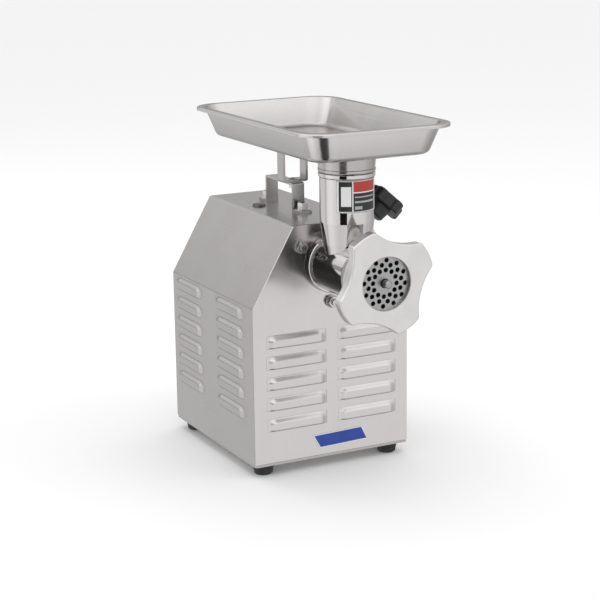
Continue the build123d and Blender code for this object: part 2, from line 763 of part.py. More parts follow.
def ring_outline():
    """Four flat lobes joined by hollow scallops."""
    edges = []
    tips = []
    for k in range(ring_lobes):
        middle = ring_turn + 360 / ring_lobes * k
        for side in (-1, 1):
            angle = math.radians(middle + side * ring_lobe_half_angle)
            tips.append((ring_lobe_radius * math.cos(angle), ring_lobe_radius * math.sin(angle)))
    for k in range(ring_lobes):
        first = tips[2 * k]
        second = tips[2 * k + 1]
        third = tips[(2 * k + 2) % len(tips)]
        middle = math.radians(ring_turn + 360 / ring_lobes * (k + 0.5))
        valley = (ring_scallop_radius * math.cos(middle), ring_scallop_radius * math.sin(middle))
        bulge = math.radians(ring_turn + 360 / ring_lobes * k)
        crest = (ring_lobe_radius * math.cos(bulge), ring_lobe_radius * math.sin(bulge))
        edges.append(ThreePointArc(first, crest, second))
        edges.append(ThreePointArc(second, valley, third))
    outline = make_face(Curve() + edges)
    return fillet(outline.vertices(), ring_corner)


def ring_nut():
    """Cast ring nut with four lobes; its lip holds the plate in the mouth."""
    y0 = -plate_reach - ring_lip
    plate = prism_y(Pos(0, axis_z) * ring_outline(), y0, y0 + ring_plate_thickness)
    front = plate.faces().sort_by(Axis.Y)[0].edges()
    back = plate.faces().sort_by(Axis.Y)[-1].edges()
    plate = fillet(front + back, 1.8)
    hub = rod_y(ring_hub_radius, y0 + 2, y0 + ring_thickness, 0, axis_z)
    hub = fillet(hub.faces().sort_by(Axis.Y)[-1].edges(), 1.5)
    hollow = turned_y([(0, y0 - 1), (ring_lip_radius + 1.2, y0 - 1), (ring_lip_radius, y0 + 1.2),
                       (ring_lip_radius, -plate_reach), (plate_radius + 0.4, -plate_reach),
                       (plate_radius + 0.4, mouth_y - 0.3), (mouth_radius + thread_gap, mouth_y - 0.3),
                       (mouth_radius + thread_gap, y0 + ring_thickness + 1),
                       (0, y0 + ring_thickness + 1)], 0, axis_z)
    return (plate + hub) - hollow


# ---- Tray -----------------------------------------------------------------------------------------
def tray_block(bottom, top, spread_bottom, spread_top):
    """Solid between two rounded rectangles; a spread is the distance in from the outer rim."""
    faces = []
    for z, spread in ((bottom, spread_bottom), (top, spread_top)):
        corner = tray_corner - spread / 2
        sketch = RectangleRounded(tray_width - 2 * spread, tray_length - 2 * spread, corner)
        faces.append(Pos(0, tray_y, z) * sketch)
    return loft(faces)


def tray_pan():
    """Deep tray with leaning walls, a wide flange and a turned-down edge."""
    under = tray_bottom
    lip = tray_flange + tray_sheet
    outer = tray_block(under, tray_top, tray_flange + tray_taper, tray_flange)
    outer = fillet(outer.faces().sort_by(Axis.Z)[0].edges(), tray_bottom_radius)
    floor_in = tray_flange + tray_taper + tray_sheet * 0.6
    inner = tray_block(under + tray_sheet, tray_top + 0.01, floor_in, lip)
    inner = fillet(inner.faces().sort_by(Axis.Z)[0].edges(), tray_bottom_radius - tray_sheet)
    rim = tray_block(tray_top - rim_drop, tray_top, 0, 0)
    rim = fillet(rim.faces().sort_by(Axis.Z)[-1].edges(), 1.5)
    hollow = tray_block(tray_top - rim_drop - 1, tray_top - tray_sheet, tray_sheet, tray_sheet)
    pan = (outer + (rim - hollow)) - inner
    return pan - rod_z(sleeve_outer() - 1.0, under - 1, under + 9, 0, throat_y)


def sleeve_outer():
    """Outside radius of the sleeve that drops into the throat."""
    return throat_radius - throat_wall - sleeve_gap


def tray_spigot():
    """Turned collar under the tray, with a sleeve that drops into the throat."""
    top = tray_bottom
    low = throat_top + collar_gap
    outside = sleeve_outer()
    inside = outside - sleeve_wall
    foot = low - sleeve_depth
    return turned_z([(inside, foot), (outside - 0.6, foot), (outside, foot + 1), (outside, low),
                     (collar_radius - 1.6, low), (collar_radius - 0.8, low + 1.2),
                     (collar_radius - 0.8, low + 3.6), (collar_radius - 1.5, low + 4.4),
                     (collar_radius, top - 1), (collar_radius, top), (inside, top)], 0, throat_y)


# ---- Gearbox ----------------------------------------------------------------------------------------
def gear_outline(teeth, turn):
    """Involute gear outline; turn is the angle of one tooth, in degrees."""
    pitch = module * teeth / 2
    base = pitch * math.cos(math.radians(pressure_angle))
    tip = pitch + module
    root = pitch - 1.25 * module
    half = math.pi / (2 * teeth) - backlash / (2 * pitch)
    involute = math.tan(math.radians(pressure_angle)) - math.radians(pressure_angle)

    def flank(radius):
        if radius <= base:
            return half + involute
        roll = math.acos(base / radius)
        return half + involute - (math.tan(roll) - roll)

    start = max(base, root)
    radii = [root] + [start + (tip - start) * k / 4 for k in range(5)]
    points = []
    for tooth in range(teeth):
        middle = math.radians(turn + 360 / teeth * tooth)
        for side, order in ((-1, radii), (1, radii[::-1])):
            for radius in order:
                angle = middle + side * flank(radius)
                point = (radius * math.cos(angle), radius * math.sin(angle))
                if not points or math.dist(point, points[-1]) > 0.02:
                    points.append(point)
    return Polygon(*points, align=None)


def gear(teeth, turn, y0, y1, z, bore):
    """A spur gear along Y with its bore."""
    body = prism_y(Pos(0, z) * gear_outline(teeth, turn), y0, y1)
    return body - rod_y(bore, y0 - 1, y1 + 1, 0, z)


def output_gear():
    """Large gear on the output shaft; a tooth points down into the small gear below."""
    y1 = front_gear_y + front_gear_width
    wheel = gear(output_teeth, -90, front_gear_y, y1, axis_z, drive_radius)
    holes = [rod_y(4.5, 0, 60, 26 * math.cos(math.radians(a)), axis_z + 26 * math.sin(math.radians(a)))
             for a in range(0, 360, 60)]
    return wheel.cut(*holes)


def output_shaft():
    """Output shaft with the square socket for the feed screw."""
    rear = spigot_length - socket_out
    start = rear + 2.2
    back = sheet + socket_plate + case_depth
    body = rod_y(shaft_radius, start, back - 1, 0, axis_z)
    body += rod_y(drive_radius, start, front_gear_y + front_gear_width, 0, axis_z)
    reach = rear + 1.5 + drive_length + 0.5
    gap = drive_square + 0.15
    hole = block(-gap, gap, start - 1, reach, axis_z - gap, axis_z + gap)
    hole = hole & rod_y(drive_square * 1.3 + 0.15, start - 2, reach + 1, 0, axis_z)
    return body - hole


def small_gear_turn():
    """Turn that puts a gap of an even-toothed small gear straight up."""
    return 90 + 180 / small_teeth


def middle_shaft():
    """Middle shaft with its small gear cut on it."""
    y1 = front_gear_y + front_gear_width
    pinion = gear(small_teeth, small_gear_turn(), front_gear_y, y1, middle_z, 2.0)
    front = sheet + socket_plate + 1
    body = rod_y(middle_radius, front, front + case_depth - 2, 0, middle_z)
    return body + pinion


def middle_gear():
    """Large gear pressed on the middle shaft; a tooth points down into the motor pinion."""
    wheel = gear(big_teeth, -90, rear_gear_y, rear_gear_y + rear_gear_width, middle_z, middle_radius)
    holes = [rod_y(6.5, 0, 60, 26 * math.cos(math.radians(a)), middle_z + 26 * math.sin(math.radians(a)))
             for a in range(0, 360, 60)]
    return wheel.cut(*holes)


def gearbox_case():
    """Open-fronted gear case with bearing bores in its back."""
    y0 = sheet + socket_plate
    y1 = y0 + case_depth
    body = prism_y(case_outline(case_bore + case_wall), y0, y1)
    body -= prism_y(case_outline(case_bore), y0 - 1, y1 - case_back)
    bores = [rod_y(bearing_outer, y1 - case_back - 1, y1 + 1, 0, axis_z),
             rod_y(small_bearing, y1 - case_back - 1, y1 + 1, 0, middle_z),
             rod_y(17.0, y1 - case_back - 1, y1 + 1, 0, motor_z)]
    return body.cut(*bores)


def bearing(outer, inner, y0, y1, z):
    """Sealed ball bearing as one ring with a groove for its shield on each face."""
    ring = rod_y(outer, y0, y1, 0, z) - rod_y(inner + running, y0 - 1, y1 + 1, 0, z)
    low = inner + (outer - inner) * 0.3
    high = inner + (outer - inner) * 0.7
    groove = rod_y(high, -0.4, 0.4, 0, z) - rod_y(low, -1, 1, 0, z)
    return ring.cut(Pos(0, y0, 0) * groove, Pos(0, y1, 0) * groove)


def gear_bearings():
    """Bearings of the output shaft and the middle shaft."""
    back = sheet + socket_plate + case_depth
    small = sheet + socket_plate + 1
    front = socket_depth - front_bearing_width
    return [bearing(front_bearing_outer, drive_radius, front, socket_depth, axis_z),
            bearing(bearing_outer, shaft_radius, back - case_back, back, axis_z),
            bearing(small_bearing, middle_radius, small, small + small_bearing_width, middle_z),
            bearing(small_bearing, middle_radius, back - case_back, back, middle_z)]


def shell_of(radius, wall, y0, y1, z):
    """A tube along Y."""
    return rod_y(radius, y0, y1, 0, z) - rod_y(radius - wall, y0 - 1, y1 + 1, 0, z)


def motor_shell_ring():
    """Ribbed tube around the stator."""
    y0 = motor_front + bell_length
    y1 = y0 + motor_length
    shell = shell_of(motor_radius, motor_shell, y0, y1, motor_z)
    rib = block(motor_radius - 1, motor_radius + 4, y0 + 4, y1 - 4, -1.2, 1.2)
    ribs = [Pos(0, 0, motor_z) * Rot(0, a, 0) * rib for a in range(0, 360, 15)]
    return shell.fuse(*ribs)


def motor_stator():
    """Laminated stator ring with winding slots."""
    y0 = motor_front + bell_length + 20
    y1 = y0 + motor_length - 44
    outside = motor_radius - motor_shell
    inside = rotor_radius + air_gap
    ring = shell_of(outside, outside - inside, y0, y1, motor_z)
    slot = block(inside + 2.5, rotor_radius + 15, y0 - 1, y1 + 1, -2, 2)
    slots = [Pos(0, 0, motor_z) * Rot(0, a, 0) * slot for a in range(0, 360, 15)]
    return ring.cut(*slots)


def motor_windings():
    """Copper end turns on both sides of the stator."""
    y0 = motor_front + bell_length + 20
    y1 = y0 + motor_length - 44
    rings = []
    for a, b in ((y0 - 13, y0), (y1, y1 + 13)):
        ring = shell_of(rotor_radius + 17, 14.5, a, b, motor_z)
        rings.append(fillet(ring.edges().filter_by(GeomType.CIRCLE), 3.0))
    return rings


def motor_bell(y0, y1, outward, pass_radius):
    """End bell with a bearing pocket; outward is the direction of its closed side."""
    bell = rod_y(motor_radius, y0, y1, 0, motor_z)
    bell = fillet(bell.faces().sort_by(Axis.Y)[0 if outward < 0 else -1].edges(), 4.0)
    a, b = (y0 + 4, y1 + 1) if outward < 0 else (y0 - 1, y1 - 4)
    inside = motor_radius - motor_shell
    cup = shell_of(inside, inside - small_bearing - 4, a, b, motor_z)
    pocket = rod_y(small_bearing, a, b, 0, motor_z)
    return bell.cut(cup, pocket, rod_y(pass_radius, y0 - 1, y1 + 1, 0, motor_z))


def motor_front_bell():
    """Front end bell of the motor."""
    return motor_bell(motor_front, motor_front + bell_length, -1, 10.5)


def motor_rear_bell():
    """Rear end bell of the motor."""
    y0 = motor_front + bell_length + motor_length
    return motor_bell(y0, y0 + bell_length, 1, 10.5)


def motor_bearings():
    """Ball bearings in the two end bells."""
    front = motor_front + bell_length
    rear = front + motor_length
    return [bearing(small_bearing, motor_shaft_radius, front - small_bearing_width, front, motor_z),
            bearing(small_bearing, motor_shaft_radius, rear, rear + small_bearing_width, motor_z)]


def motor_shaft():
    """Motor shaft with the pinion cut on its front end."""
    end = motor_front + bell_length + motor_length + bell_length + fan_width + 2
    body = rod_y(motor_shaft_radius, rear_gear_y - 4, end, 0, motor_z)
    y1 = rear_gear_y + rear_gear_width
    pinion = gear(small_teeth, small_gear_turn(), rear_gear_y, y1, motor_z, 2.0)
    return body + pinion


def motor_rotor():
    """Laminated rotor core with cast end rings."""
    y0 = motor_front + bell_length + 20
    y1 = y0 + motor_length - 44
    core = rod_y(rotor_radius, y0, y1, 0, motor_z)
    ends = [shell_of(rotor_radius - 1, 9, a, b, motor_z) for a, b in ((y0 - 7, y0), (y1, y1 + 7))]
    return joined([core, *ends]) - rod_y(motor_shaft_radius, y0 - 20, y1 + 20, 0, motor_z)


def motor_fan():
    """Cooling fan on the rear end of the motor shaft."""
    y0 = motor_front + 2 * bell_length + motor_length + 2
    hub = rod_y(13, y0, y0 + fan_width, 0, motor_z)
    disc = rod_y(fan_radius, y0, y0 + 2, 0, motor_z)
    blades = [Pos(0, 0, motor_z) * Rot(0, a, 0) * block(11, fan_radius, y0 + 1, y0 + fan_width, -1, 1)
              for a in range(0, 360, 45)]
    return joined([hub, disc, *blades]) - rod_y(motor_shaft_radius, y0 - 1, y0 + 40, 0, motor_z)


def motor_cradle():
    """Bent bracket that carries the motor on the base plate."""
    y0 = motor_front + bell_length + cradle_from_front_bell
    y1 = motor_front + bell_length + motor_length - cradle_from_rear_bell
    top = motor_z - 24
    half = 52.0
    outer = Polygon((-half - 18, base_top), (half + 18, base_top), (half + 18, base_top + 3),
                    (half, base_top + 3), (half, top), (-half, top), (-half, base_top + 3),
                    (-half - 18, base_top + 3), align=None)
    body = prism_y(outer, y0, y1)
    body -= block(-half + 3, half - 3, y0 - 1, y1 + 1, base_top - 1, base_top + 14)
    body -= rod_y(motor_radius + 4.3, y0 - 1, y1 + 1, 0, motor_z)
    return body


def run_capacitor():
    """Motor capacitor, a can with two tabs, beside the motor."""
    can_top = capacitor_z + capacitor_height
    can = rod_z(capacitor_radius, capacitor_z, can_top, capacitor_x, capacitor_y)
    can = fillet(can.edges().filter_by(GeomType.CIRCLE), 2.0)
    tabs = [block(capacitor_x + s * 6 - 3, capacitor_x + s * 6 + 3, capacitor_y - 0.4, capacitor_y + 0.4,
                  can_top - 1, can_top + 8) for s in (-1, 1)]
    return joined([can, *tabs])


def capacitor_clip():
    """Spring clip that holds the capacitor to the base plate."""
    z0 = base_top
    inside = capacitor_radius + clip_gap
    plate = rod_z(inside + clip_wall + 1.3, z0, z0 + 2, capacitor_x, capacitor_y)
    band = rod_z(inside + clip_wall, z0, z0 + 30, capacitor_x, capacitor_y)
    band -= rod_z(inside, z0 - 1, z0 + 40, capacitor_x, capacitor_y)
    pad = rod_z(inside, z0 + 2, capacitor_z, capacitor_x, capacitor_y)
    slot = block(capacitor_x - 30, capacitor_x - 12, capacitor_y - 3, capacitor_y + 3, z0 + 2.5, z0 + 40)
    return joined([plate, band, pad]) - slot


# ---- Switch, gland and terminals -----------------------------------------------------------------
def button_places():
    """Centres (x, z) of the start and the stop button."""
    z = axis_z + switch_above_axis
    return (-button_pitch / 2, z), (button_pitch / 2, z)


def switch_body():
    """Switch block behind the rear panel with its bezel outside."""
    z = axis_z + switch_above_axis
    half_w = switch_width / 2
    half_h = switch_height / 2
    bezel = block(-half_w, half_w, depth, depth + bezel_depth, z - half_h, z + half_h)
    bezel = fillet(bezel.edges().filter_by(Axis.Y), 5.0)
    bezel = chamfer(bezel.faces().sort_by(Axis.Y)[-1].edges(), 0.8)
    body = block(-half_w + 4.2, half_w - 4.2, depth - switch_body_depth, depth + 1,
                 z - half_h + 4.2, z + half_h - 4.2)
    wells = [rod_y(button_radius + 0.3, depth - 12, depth + 9, x, bz) for x, bz in button_places()]
    return (bezel + body).cut(*wells)


def push_button(index):
    """Round button standing out of the switch bezel."""
    x, z = button_places()[index]
    low = depth - 12 + button_travel + 0.4
    cap = rod_y(button_radius, low, depth + bezel_depth + button_out, x, z)
    rim = cap.faces().sort_by(Axis.Y)[-1].edges()
    return fillet(rim, 1.2)


def start_button():
    """Start button."""
    return push_button(0)


def stop_button():
    """Stop button."""
    return push_button(1)


def cord_gland():
    """Body of the cable gland, through the rear panel."""
    x, z = gland_x, gland_z
    y1 = depth
    body = joined([hex_along_y(2 * gland_radius * 0.95, y1, y1 + 5, x, z),
                   rod_y(gland_radius - 3, y1 - sheet - 9, y1 + 2, x, z),
                   rod_y(gland_radius - 2, y1 + 5, y1 + gland_out, x, z)])
    body = chamfer(body.faces().sort_by(Axis.Y)[-1].edges(), 1.5)
    return body - rod_y(cord_radius, y1 - 30, y1 + 30, x, z)


def gland_nut():
    """Nut of the gland inside the rear panel."""
    y1 = depth - sheet
    nut = hex_along_y(24, y1 - 4, y1, gland_x, gland_z)
    return nut - rod_y(gland_radius - 3, y1 - 9, y1 + 9, gland_x, gland_z)


def terminal_block():
    """Terminal block on the base plate."""
    body = block(terminal_x - terminal_width / 2, terminal_x + terminal_width / 2,
                 terminal_y - terminal_length / 2, terminal_y + terminal_length / 2,
                 base_top, base_top + terminal_height)
    holes = [rod_z(2.6, base_top + 6, base_top + terminal_height + 4,
                   terminal_x, terminal_y + terminal_pitch * k) for k in range(-2, 3)]
    return body.cut(*holes)


def rear_screws():
    """Pan-head screws around the rear panel."""
    z_low = base_top + 7
    places = [(s * (half_width - 8), z) for s in (-1, 1) for z in (z_low, shoulder_height - 12)]
    places += [(s * (top_width / 2 - 8), top_height - 8) for s in (-1, 1)]
    head = [(0, depth), (3.6, depth), (3.2, depth + 1.8), (1.6, depth + 2.4), (0, depth + 2.4)]
    return [turned_y(head, x, z) for x, z in places]


# ---- Write the nodes ------------------------------------------------------------------------------
NODES = {
    "base_plate": base_plate,
    "rubber_feet": rubber_feet,
    "foot_screws": foot_screws,
    "foot_nuts": foot_nuts,
    "housing_wrap": housing_wrap,
    "front_panel": front_panel,
    "rear_panel": rear_panel,
    "rear_screws": rear_screws,
    "hole_plug": hole_plug,
    "badge_plate": badge_plate,
    "bridge_strap": bridge_strap,
    "tray_cradle": tray_cradle,
    "bracket_bolts": bracket_bolts,
    "bracket_nuts": bracket_nuts,
    "head_socket": head_socket,
    "socket_studs": socket_studs,
    "socket_nuts": socket_nuts,
    "clamp_stud": clamp_stud,
    "clamp_knob": clamp_knob,
    "head_casting": head_casting,
    "throat_label": throat_label,
    "plate_key": plate_key,
    "grinding_plate": grinding_plate,
    "knife": knife,
    "feed_screw": feed_screw,
    "screw_pin": screw_pin,
    "ring_nut": ring_nut,
    "tray_pan": tray_pan,
    "tray_spigot": tray_spigot,
    "output_gear": output_gear,
    "output_shaft": output_shaft,
    "middle_shaft": middle_shaft,
    "middle_gear": middle_gear,
    "gearbox_case": gearbox_case,
    "gear_bearings": gear_bearings,
    "motor_housing": motor_shell_ring,
    "motor_stator": motor_stator,
    "motor_windings": motor_windings,
    "motor_front_bell": motor_front_bell,
    "motor_rear_bell": motor_rear_bell,
    "motor_bearings": motor_bearings,
    "motor_shaft": motor_shaft,
    "motor_rotor": motor_rotor,
    "motor_fan": motor_fan,
    "motor_cradle": motor_cradle,
    "run_capacitor": run_capacitor,
    "capacitor_clip": capacitor_clip,
    "switch_body": switch_body,
    "start_button": start_button,
    "stop_button": stop_button,
    "terminal_block": terminal_block,
    "cord_gland": cord_gland,
    "gland_nut": gland_nut,
}


def write_node(name, shape):
    """Move a node to the row frame and write it."""
    solids = []
    for piece in shape if isinstance(shape, list) else [shape]:
        solids += piece.solids()
    moved = [Pos(0, front_y, 0) * solid for solid in solids]
    export_step(Compound(children=moved) if len(moved) > 1 else moved[0], f"parts/{name}.step")


os.makedirs("parts", exist_ok=True)
for node_name, maker in NODES.items():
    write_node(node_name, maker())
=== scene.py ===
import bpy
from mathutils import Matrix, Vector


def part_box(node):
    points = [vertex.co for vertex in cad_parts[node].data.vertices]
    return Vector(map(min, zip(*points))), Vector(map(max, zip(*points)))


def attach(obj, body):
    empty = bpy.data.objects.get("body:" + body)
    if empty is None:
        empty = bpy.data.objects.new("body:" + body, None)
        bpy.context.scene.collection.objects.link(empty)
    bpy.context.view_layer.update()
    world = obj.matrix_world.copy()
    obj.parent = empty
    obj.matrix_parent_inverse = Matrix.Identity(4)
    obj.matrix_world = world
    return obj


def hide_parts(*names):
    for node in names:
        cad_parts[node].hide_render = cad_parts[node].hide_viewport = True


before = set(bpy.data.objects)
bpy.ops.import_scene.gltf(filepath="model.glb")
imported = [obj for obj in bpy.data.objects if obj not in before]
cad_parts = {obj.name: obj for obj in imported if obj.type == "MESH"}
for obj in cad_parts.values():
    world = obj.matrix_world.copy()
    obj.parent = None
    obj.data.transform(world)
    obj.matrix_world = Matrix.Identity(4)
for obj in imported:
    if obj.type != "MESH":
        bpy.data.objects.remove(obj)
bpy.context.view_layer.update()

import math

import bmesh
import bpy
from bpy.props import FloatProperty, FloatVectorProperty, IntProperty, PointerProperty
from mathutils import Matrix, Vector

bl_info = {
    "name": "Electric meat grinder",
    "version": (1, 0, 0),
    "blender": (4, 5, 0),
    "location": "View3D > Sidebar > Grinder",
    "description": "Surfaces, pressed sheet, castings, fasteners and studio for a bench meat grinder",
    "category": "Object",
}


# ---- Settings ---------------------------------------------------------------------------------
def size(name, description, default):
    """A length in metres."""
    return FloatProperty(name=name, description=description, default=default, unit="LENGTH", precision=4)


class GrinderCamera(bpy.types.PropertyGroup):
    """Where the camera stands and how it looks."""
    azimuth: FloatProperty(name="Azimuth", description="Turn round the grinder from the front",
                           default=math.radians(-26.82), subtype="ANGLE")
    elevation: FloatProperty(name="Elevation", description="Angle above the horizon",
                             default=math.radians(13.63), subtype="ANGLE")
    roll: FloatProperty(name="Roll", description="Turn about the line of sight",
                        default=math.radians(-0.82), subtype="ANGLE")
    distance: size("Distance", "From the camera to the point that it looks at", 2.0798)
    target: FloatVectorProperty(name="Target", description="Point that the camera looks at",
                                default=(-0.0169, -0.0069, 0.2011), subtype="XYZ", unit="LENGTH")
    lens: FloatProperty(name="Lens", description="Focal length in millimetres on a 36 mm sensor",
                        default=101.99)


class GrinderSheet(bpy.types.PropertyGroup):
    """Folded sheet of the housing"""
    thickness: size("Sheet", "Thickness of the stainless sheet", 0.0015)
    shoulder: size("Shoulder", "Floor to the bend where the sides lean in", 0.210)
    top_width: size("Top width", "Flat part of the top", 0.100)
    bend: size("Bend radius", "Outside radius of the folds", 0.004)
    edge_round: size("Edge rounding", "Rounding of the outer edges of the end sheets", 0.0010)
    socket_hole: size("Socket hole", "Radius of the hole for the head's socket", 0.0358)


class GrinderLouvres(bpy.types.PropertyGroup):
    """Pressed louvres of the housing"""
    height: size("Height", "Height of the pressed step", 0.016)
    rise: FloatProperty(name="Rise", description="Share of the CAD hood's height", default=0.85)
    corner: size("Corner", "Radius of the upper corners", 0.008)
    flank: size("Flank", "Width of the sloped edge above the flat of the hood", 0.0062)
    end_length: size("End length", "Length of a louvre on the front and rear", 0.080)
    end_pitch_x: size("End columns", "Spacing of the two columns, front and rear", 0.096)
    end_first: size("End first", "Lower edge of the lowest louvre, front and rear", 0.057)
    end_pitch_z: size("End rows", "Spacing of the rows, front and rear", 0.0257)
    end_rows: IntProperty(name="End row count", description="Rows on the front and rear", default=5)
    side_length: size("Side length", "Length of a louvre on the sides", 0.078)
    side_pitch_y: size("Side columns", "Spacing of the two columns, sides", 0.122)
    side_middle: size("Side middle", "Middle of the side louvres along the housing", 0.0705)
    side_first: size("Side first", "Lower edge of the lowest louvre, sides", 0.068)
    side_pitch_z: size("Side rows", "Spacing of the rows, sides", 0.0247)
    side_rows: IntProperty(name="Side row count", description="Rows on the sides", default=6)


# ---- Node tools -------------------------------------------------------------------------------
def put(tree, kind, settings=None, sockets=None):
    """Add a node, set its properties, and link or set its input sockets by name or number."""
    node = tree.nodes.new(kind)
    for key, value in (settings or {}).items():
        setattr(node, key, value)
    for key, value in (sockets or {}).items():
        target = node.inputs[key]
        if isinstance(value, bpy.types.NodeSocket):
            tree.links.new(value, target)
        elif isinstance(value, bpy.types.Node):
            tree.links.new(value.outputs[0], target)
        else:
            target.default_value = value
    return node


def maths(tree, operation, a, b=0.0, c=None, clamp=False):
    """A Math node's result."""
    sockets = {0: a, 1: b}
    if c is not None:
        sockets[2] = c
    settings = {"operation": operation, "use_clamp": clamp}
    return put(tree, "ShaderNodeMath", settings, sockets).outputs[0]


def times(tree, a, b):
    """A product."""
    return maths(tree, "MULTIPLY", a, b)


def plus(tree, a, b):
    """A sum."""
    return maths(tree, "ADD", a, b)


def minus(tree, a, b):
    """A difference."""
    return maths(tree, "SUBTRACT", a, b)


def ramp(tree, value, low, high, out_low, out_high, kind="LINEAR"):
    """A Map Range node's result."""
    sockets = {"Value": value, "From Min": low, "From Max": high, "To Min": out_low, "To Max": out_high}
    return put(tree, "ShaderNodeMapRange", {"interpolation_type": kind}, sockets).outputs["Result"]


def mix(tree, mask, a, b):
    """One number or the other, by a mask."""
    sockets = {"Factor": mask, "A": a, "B": b}
    return put(tree, "ShaderNodeMix", {"data_type": "FLOAT"}, sockets).outputs[0]


def shade(tree, mask, a, b):
    """One colour or the other, by a mask."""
    a, b = ((*tone, 1.0) if isinstance(tone, tuple) else tone for tone in (a, b))
    return put(tree, "ShaderNodeMix", {"data_type": "RGBA"}, {"Factor": mask, 6: a, 7: b}).outputs[2]


def noise(tree, vector, scale, detail, roughness=0.5, distortion=0.0):
    """A Noise Texture's value."""
    sockets = {"Vector": vector, "Scale": scale, "Detail": detail, "Roughness": roughness,
               "Distortion": distortion}
    return put(tree, "ShaderNodeTexNoise", None, sockets).outputs["Fac"]


def dots(tree, vector, scale, core, rim):
    """Round spots in the middle of Voronoi cells, as a mask that fades from core to rim."""
    cells = put(tree, "ShaderNodeTexVoronoi", {"feature": "F1"}, {"Vector": vector, "Scale": scale})
    return ramp(tree, cells.outputs["Distance"], core, rim, 1.0, 0.0, "SMOOTHSTEP")


SOCKETS = {float: "NodeSocketFloat", int: "NodeSocketInt", tuple: "NodeSocketVector",
           type(None): "NodeSocketMaterial"}


def add_inputs(tree, inputs):
    """Named input sockets, whose kinds follow from their defaults."""
    for label, default in inputs.items():
        made = tree.interface.new_socket(label, in_out="INPUT", socket_type=SOCKETS[type(default)])
        made.default_value = default


def split_xyz(tree, vector):
    """The three parts of a vector."""
    return put(tree, "ShaderNodeSeparateXYZ", None, {0: vector}).outputs


def join_xyz(tree, x, y, z):
    """A vector from three parts."""
    return put(tree, "ShaderNodeCombineXYZ", None, {0: x, 1: y, 2: z}).outputs[0]


# ---- Shared effects ---------------------------------------------------------------------------
def new_group(name, inputs, outputs):
    """An empty shader node group with named sockets; returns the tree, what enters and its end."""
    tree = bpy.data.node_groups.new(name, "ShaderNodeTree")
    add_inputs(tree, {"Vector": (0.0, 0.0, 0.0), **inputs})
    for label, socket in outputs:
        tree.interface.new_socket(label, in_out="OUTPUT", socket_type="NodeSocket" + socket)
    return tree, tree.nodes.new("NodeGroupInput").outputs, tree.nodes.new("NodeGroupOutput")


def link_all(tree, node, results):
    """Link values to a node's input sockets by name."""
    for label, value in results.items():
        tree.links.new(value, node.inputs[label])
    return tree


def brushed_grain_group():
    """Long streaks of a brushed or rolled surface: a mask about the middle and a height."""
    tree, given, end = new_group(
        "brushed_grain", {"Stretch": (1.0, 1.0, 1.0), "Fine share": 0.5}, [("Mask", "Float"), ("Height", "Float")])
    stretched = put(tree, "ShaderNodeVectorMath", {"operation": "MULTIPLY"},
                    {0: given["Vector"], 1: given["Stretch"]})
    broad = noise(tree, stretched, 1.0, 2.0, 0.6)
    fine = noise(tree, stretched, 4.3, 3.0, 0.7)
    both = mix(tree, given["Fine share"], broad, fine)
    return link_all(tree, end, {"Height": both, "Mask": ramp(tree, both, 0.3, 0.7, 0.0, 1.0)})


def handling_marks_group():
    """Cloudy wipe marks and a few small spots, as a mask."""
    tree, given, end = new_group(
        "handling_marks", {"Scale": 18.0, "Spots": 0.3}, [("Mask", "Float")])
    cloud = noise(tree, given["Vector"], given["Scale"], 4.0, 0.55, 0.6)
    clouds = ramp(tree, cloud, 0.42, 0.68, 0.0, 1.0, "SMOOTHSTEP")
    spots = dots(tree, given["Vector"], times(tree, given["Scale"], 9.0), 0.06, 0.14)
    total = maths(tree, "ADD", clouds, times(tree, spots, given["Spots"]), clamp=True)
    return link_all(tree, end, {"Mask": total})


def cast_skin_group():
    """Fine sand and shallow pits of a casting or a moulding."""
    tree, given, end = new_group(
        "cast_skin", {"Grain": 900.0, "Pits": 0.3}, [("Height", "Float"), ("Mask", "Float")])
    sand = noise(tree, given["Vector"], given["Grain"], 3.0, 0.65)
    pits = dots(tree, given["Vector"], times(tree, given["Grain"], 0.35), 0.1, 0.35)
    height = minus(tree, sand, times(tree, pits, given["Pits"]))
    return link_all(tree, end, {"Height": height, "Mask": pits})


def edge_wear_group():
    """Rounded edges seen from the surface itself: the softened normal and a mask of worn edges."""
    tree, given, end = new_group(
        "edge_wear", {"Radius": 0.0006, "Patchy": 0.5}, [("Normal", "Vector"), ("Mask", "Float")])
    soft = put(tree, "ShaderNodeBevel", {"samples": 4}, {"Radius": given["Radius"]}).outputs["Normal"]
    flat = put(tree, "ShaderNodeNewGeometry").outputs["Normal"]
    facing = put(tree, "ShaderNodeVectorMath", {"operation": "DOT_PRODUCT"}, {0: soft, 1: flat})
    worn = ramp(tree, facing.outputs["Value"], 0.995, 0.86, 0.0, 1.0)
    broken = ramp(tree, noise(tree, given["Vector"], 260.0, 3.0), 0.38, 0.62, 0.0, 1.0)
    kept = mix(tree, given["Patchy"], 1.0, broken)
    return link_all(tree, end, {"Normal": soft, "Mask": times(tree, worn, kept)})


GROUPS = {}


def group(tree, name, **sockets):
    """Place one of the shared effects in a material and return its results."""
    return put(tree, "ShaderNodeGroup", {"node_tree": GROUPS[name]}, sockets).outputs


# ---- Materials --------------------------------------------------------------------------------
def blank_material(name):
    """A new material; returns it, its tree and the Object coordinates."""
    made = bpy.data.materials.new(name + "_finish")
    made.use_nodes = True
    return made, made.node_tree, put(made.node_tree, "ShaderNodeTexCoord").outputs["Object"]


def dress(tree, tone, rough, metallic, bump, depth, height, normal):
    """Link a material's last values to its shader."""
    relief = put(tree, "ShaderNodeBump", None,
                 {"Strength": bump, "Distance": depth, "Height": height, "Normal": normal})
    shader = tree.nodes["Principled BSDF"]
    shader.inputs["Metallic"].default_value = metallic
    link_all(tree, shader, {"Base Color": tone, "Roughness": rough, "Normal": relief.outputs["Normal"]})


